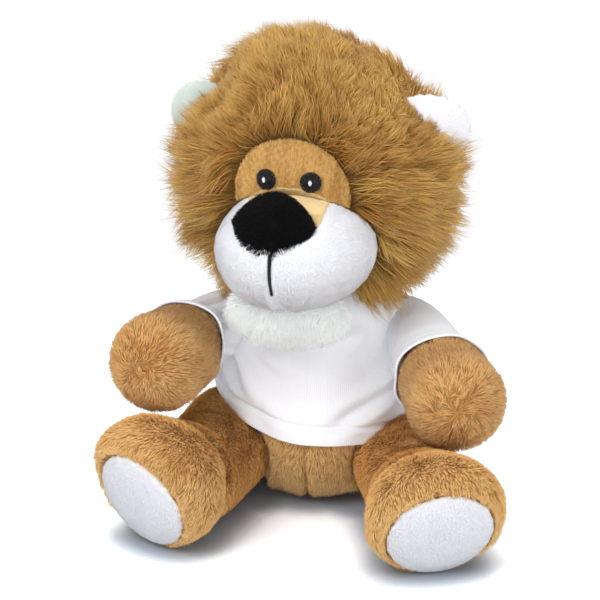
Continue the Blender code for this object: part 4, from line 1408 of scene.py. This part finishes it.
class LION_OT_shirt(PieceOperator):
    """The knitted T-shirt: body, sleeves and hems"""

    bl_idname = "plush_lion.shirt"
    bl_label = "Shirt"

    # The torso's solid: its radius, the height where it is widest, its height above that and its shape
    radius, widest, above, crown, climb = 0.028, 0.02, 0.052, 0.8, 0.046
    neckline = 0.0652
    # The armhole's radius, how far its ring is sunk, and the sleeve's least radius
    armhole_radius, armhole_sunk, sleeve_radius = 0.0112, 0.0022, 0.0104
    # The arm's radius where a ray meets none of it, and the room for its pile under the knit
    arm_if_missed, pile_room = 0.0098, 0.0020
    # Folds of the body: their start, end, width and depth
    folds = (
        ((0.0285, -0.014, 0.047), (0.024, -0.0265, 0.0345), 0.0014, 0.0020),
        ((0.0255, -0.0185, 0.052), (0.0190, -0.0265, 0.043), 0.0013, 0.0016),
        ((0.0290, -0.012, 0.040), (0.008, -0.0310, 0.0275), 0.0024, 0.0013),
        ((0.0200, -0.0215, 0.056), (0.0080, -0.0265, 0.0500), 0.0016, 0.0013),
        ((-0.018, -0.0240, 0.052), (-0.006, -0.0300, 0.045), 0.0018, 0.0011),
        ((-0.027, -0.0130, 0.046), (-0.020, -0.0250, 0.034), 0.0018, 0.0014),
        ((-0.028, -0.0080, 0.040), (-0.012, -0.0300, 0.026), 0.0026, 0.0010),
    )
    # Lengthwise creases of each sleeve: their turn round the arm, in degrees, and their depth
    creases = {
        "left": ((200, 0.0008), (245, 0.0006), (300, 0.0006)),
        "right": ((20, 0.0010), (58, 0.0008), (330, 0.0006)),
    }

    def make(self):
        shirt = bpy.context.scene.plush_shirt
        self.trunk(shirt)
        for name in SIDES:
            self.sleeve(name, shirt)

    def torso_radius(self, height):
        """Half width and half depth of the torso's solid at this height."""
        share = np.clip((height - self.widest) / self.above, -1, 0.999)
        ring = np.sqrt(np.maximum(0, 1 - share**2)) ** self.crown
        climb = np.clip((height - self.widest) / self.climb, 0, 1)
        return self.radius * ring * (1 + 0.2 * climb), self.radius * ring

    def trunk(self, shirt):
        around, rows = 220, 110
        turns = np.linspace(0, 2 * np.pi, around, endpoint=False)
        side, front = np.sin(turns), -np.cos(turns)
        hem = hem_height(side, front)[None, :]
        # The last rows turn in under the neckband
        share = np.linspace(0, 1.08, rows)[:, None]
        inwards = np.clip((share - 1.0) / 0.08, 0, 1)
        height = hem + (self.neckline - hem) * np.minimum(share, 1.0)
        wide, deep = self.torso_radius(height)
        loose = shirt.ease + 0.0010 * bell(height, hem, 0.007)
        height = height + 0.0009 * np.sin(inwards * np.pi / 2)
        grow = loose + shirt.cloth - 0.0075 * inwards
        points = np.stack(((wide + grow) * side, (deep + grow) * front, height), axis=-1).reshape(-1, 3)
        out = np.broadcast_to(np.stack((side, front, side * 0), axis=-1), (rows, around, 3)).reshape(-1, 3)
        moved = self.moved(points, (height - hem).reshape(-1), shirt.hem)
        points = points + out * moved[:, None] + belly_shift(points) * 1.05
        uv = np.stack((np.broadcast_to(turns * 0.029, height.shape), height), axis=-1).reshape(-1, 2)
        obj = self.cloth("shirt_body", points, uv, around, rows, shirt.cloth)
        dress(obj, look("White fine knit"), "trunk", ("shirt_front", "shirt_back", "shirt_neckband"))

    def moved(self, points, lengthwise, hem):
        """How far the cloth of the body stands out or in along its folds and at its turned hem."""
        moved = np.zeros(len(points))
        for start, end, width, depth in self.folds:
            start, end = np.array(start), np.array(end)
            way = end - start
            t = np.clip((points - start) @ way / (way @ way), 0, 1)
            gap = np.linalg.norm(points - start - t[:, None] * way, axis=1)
            fade = np.sin(np.pi * np.clip(t * 0.8 + 0.12, 0, 1))
            moved += depth * fade * (bell(gap, width * 1.6, width) - 1.1 * bell(gap, 0, width * 0.8))
        moved += 0.0007 * ripple(points, 20 * MM, 201) * rise_between(0.0, 0.01, lengthwise)
        turned = rise_between(hem + 0.0004, hem - 0.0004, lengthwise)
        return moved + 0.0005 * turned - 0.0011 * bell(lengthwise, hem, 0.0007)

    def cloth(self, name, points, uv, around, rows, thickness):
        """A tube of cloth from rings of points, with a map named Cloth that is measured in metres."""
        mesh = bpy.data.meshes.new(name)
        corner, k = np.divmod(np.arange((rows - 1) * around), around)
        low, j = corner * around, (k + 1) % around
        faces = np.stack((low + k, low + j, low + around + j, low + around + k), axis=1)
        mesh.from_pydata(points.tolist(), [], faces.tolist())
        layer = mesh.uv_layers.new(name="Cloth")
        flat = uv[faces]
        wrap = np.ptp(flat[:, :, 0], axis=1) > uv[:, 0].max() * 0.5
        flat[wrap, 1:3, 0] += uv[:, 0].max() + (uv[1, 0] - uv[0, 0])
        layer.uv.foreach_set("vector", flat.astype(np.float32).ravel())
        obj = link(name, mesh)
        modify(obj, "SOLIDIFY", thickness=thickness, offset=-1.0)
        modify(obj, "SUBSURF", levels=1, render_levels=1)
        return settle(obj)

    def armhole(self, name, shirt, shoulder, way, level, steep, turns):
        """The ring where the sleeve is sewn into the shirt's body, a little below the body's surface."""
        bend = Vector(way).rotation_difference(Vector((SIDES[name], 0, 0)))
        across, above = np.array(bend @ Vector(level)), np.array(bend @ Vector(steep))
        ring = shoulder + self.armhole_radius * (np.cos(turns)[:, None] * across + np.sin(turns)[:, None] * above)
        wide, deep = self.torso_radius(ring[:, 2])
        room = shirt.ease + shirt.cloth
        bulge = np.sqrt(np.clip(1 - (ring[:, 1] / (deep + room)) ** 2, 0.05, 1))
        ring[:, 0] = SIDES[name] * ((wide + room) * bulge - self.armhole_sunk)
        return ring

    def arm_radius(self, name, shoulder, way, level, steep, t, turns):
        """How far the arm's skin stands from the sleeve's middle line, evened out round and along the arm."""
        tree = BVHTree.FromObject(bpy.data.objects[f"arm_{name}_skin"], bpy.context.evaluated_depsgraph_get())
        found = np.zeros(t.shape)
        for k, turn in enumerate(turns):
            out = Vector(math.cos(turn) * level + math.sin(turn) * steep)
            for row in range(len(t)):
                hit = tree.ray_cast(Vector(shoulder + way * t[row, k]), out)
                found[row, k] = hit[3] if hit[0] is not None else self.arm_if_missed
        for _ in range(12):
            found = (found + np.roll(found, 1, axis=1) + np.roll(found, -1, axis=1)) / 3
            found[1:-1] = (found[1:-1] + found[:-2] + found[2:]) / 3
        return found

    def sleeve(self, name, shirt):
        side = SIDES[name]
        shoulder, way, level, steep = arm_frame(name)
        around, rows, bends = 120, 44, 16
        turns = np.linspace(0, 2 * np.pi, around, endpoint=False)
        ends = SLEEVE_ENDS[name] + SLEEVE_TILTS[name] * np.sin(turns)
        t = SLEEVE_START + np.linspace(0, 1, rows)[:, None] * (ends - SLEEVE_START)[None, :]
        radius = self.sleeve_radius + 0.0014 * np.clip(t / 0.02, 0, 1.2)
        cuff = ends[None, :] - t
        held = self.arm_radius(name, shoulder, way, level, steep, t, turns) + self.pile_room
        snug = rise_between(0.011, 0.002, cuff)
        radius = np.maximum(radius, held) * (1 - snug) + held * snug
        grow = 0.0003 * bell(cuff, 0, 0.004)
        wave = ripple(np.stack((np.cos(turns), np.sin(turns), turns * 0), axis=1) * 0.01, 12 * MM, 211 + int(side))
        fold = 0.0005 * wave[None, :] * rise_between(-0.003, 0.012, t)
        for turn, depth in self.creases[name]:
            off = np.angle(np.exp(1j * (turns - math.radians(turn) - 0.25 * np.sin(t * 90))))
            crease = bell(off, 0, 0.10) - 0.7 * bell(np.abs(off), 0.24, 0.13)
            fold = fold - depth * crease * rise_between(0.0, 0.009, cuff)
        hem, hem_full = 0.0042, 0.0036
        band = rise_between(hem, hem_full, cuff) * 0.0005 - 0.0010 * bell(cuff, hem, 0.0006)
        size = radius + grow + band + fold
        spokes = np.cos(turns)[None, :, None] * level + np.sin(turns)[None, :, None] * steep
        points = shoulder + t[:, :, None] * way + size[:, :, None] * spokes

        # From the armhole a smooth cap bends over into the tube round the arm
        ring = self.armhole(name, shirt, shoulder, way, level, steep, turns)
        s = np.linspace(0, 1, bends, endpoint=False)[:, None, None]
        outwards, onwards = np.array((side * 0.022, 0, 0)), way * 0.026
        cap = (2 * s**3 - 3 * s**2 + 1) * ring + (s**3 - 2 * s**2 + s) * outwards
        cap = cap + (3 * s**2 - 2 * s**3) * points[0] + (s**3 - s**2) * onwards
        points = np.concatenate((cap, points)).reshape(-1, 3)
        lengthwise = np.concatenate((SLEEVE_START - 0.014 * (1 - s[:, :, 0]) + t[:1] * 0, t))
        uv = np.stack((np.broadcast_to(turns * 0.012, lengthwise.shape), lengthwise), axis=-1).reshape(-1, 2)
        obj = self.cloth(f"sleeve_{name}_knit", points, uv, around, rows + bends, shirt.cloth)
        obj.data.materials.append(look("White fine knit"))
        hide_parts(f"sleeve_{name}")
        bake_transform(obj)


OPERATORS = (
    LION_OT_stage,
    LION_OT_torso,
    LION_OT_legs,
    LION_OT_tail,
    LION_OT_arms,
    LION_OT_shirt,
    LION_OT_head,
    LION_OT_mane,
    LION_OT_chin,
    LION_OT_nose_and_mouth,
    LION_OT_eyes,
    LION_OT_ears,
)


class LION_PT_pieces(Panel):
    """The pieces of the lion, in the order in which they are made"""

    bl_idname = "LION_PT_pieces"
    bl_label = "Plush Lion"
    bl_space_type = "VIEW_3D"
    bl_region_type = "UI"
    bl_category = "Plush Lion"

    def draw(self, context):
        for group in (context.scene.plush_pile, context.scene.plush_colours, context.scene.plush_shirt):
            box = self.layout.box()
            for name in group.__annotations__:
                box.prop(group, name)
        for operator in OPERATORS:
            self.layout.operator(operator.bl_idname)


CLASSES = (PileSizes, CoatColours, ShirtSizes, *OPERATORS, LION_PT_pieces)


def register():
    for cls in CLASSES:
        bpy.utils.register_class(cls)
    bpy.types.Scene.plush_pile = PointerProperty(type=PileSizes)
    bpy.types.Scene.plush_colours = PointerProperty(type=CoatColours)
    bpy.types.Scene.plush_shirt = PointerProperty(type=ShirtSizes)


def unregister():
    del bpy.types.Scene.plush_shirt, bpy.types.Scene.plush_colours, bpy.types.Scene.plush_pile
    for cls in reversed(CLASSES):
        bpy.utils.unregister_class(cls)


def main():
    register()
    for operator in OPERATORS:
        area, name = operator.bl_idname.split(".")
        getattr(getattr(bpy.ops, area), name)()


if __name__ == "__main__":
    main()
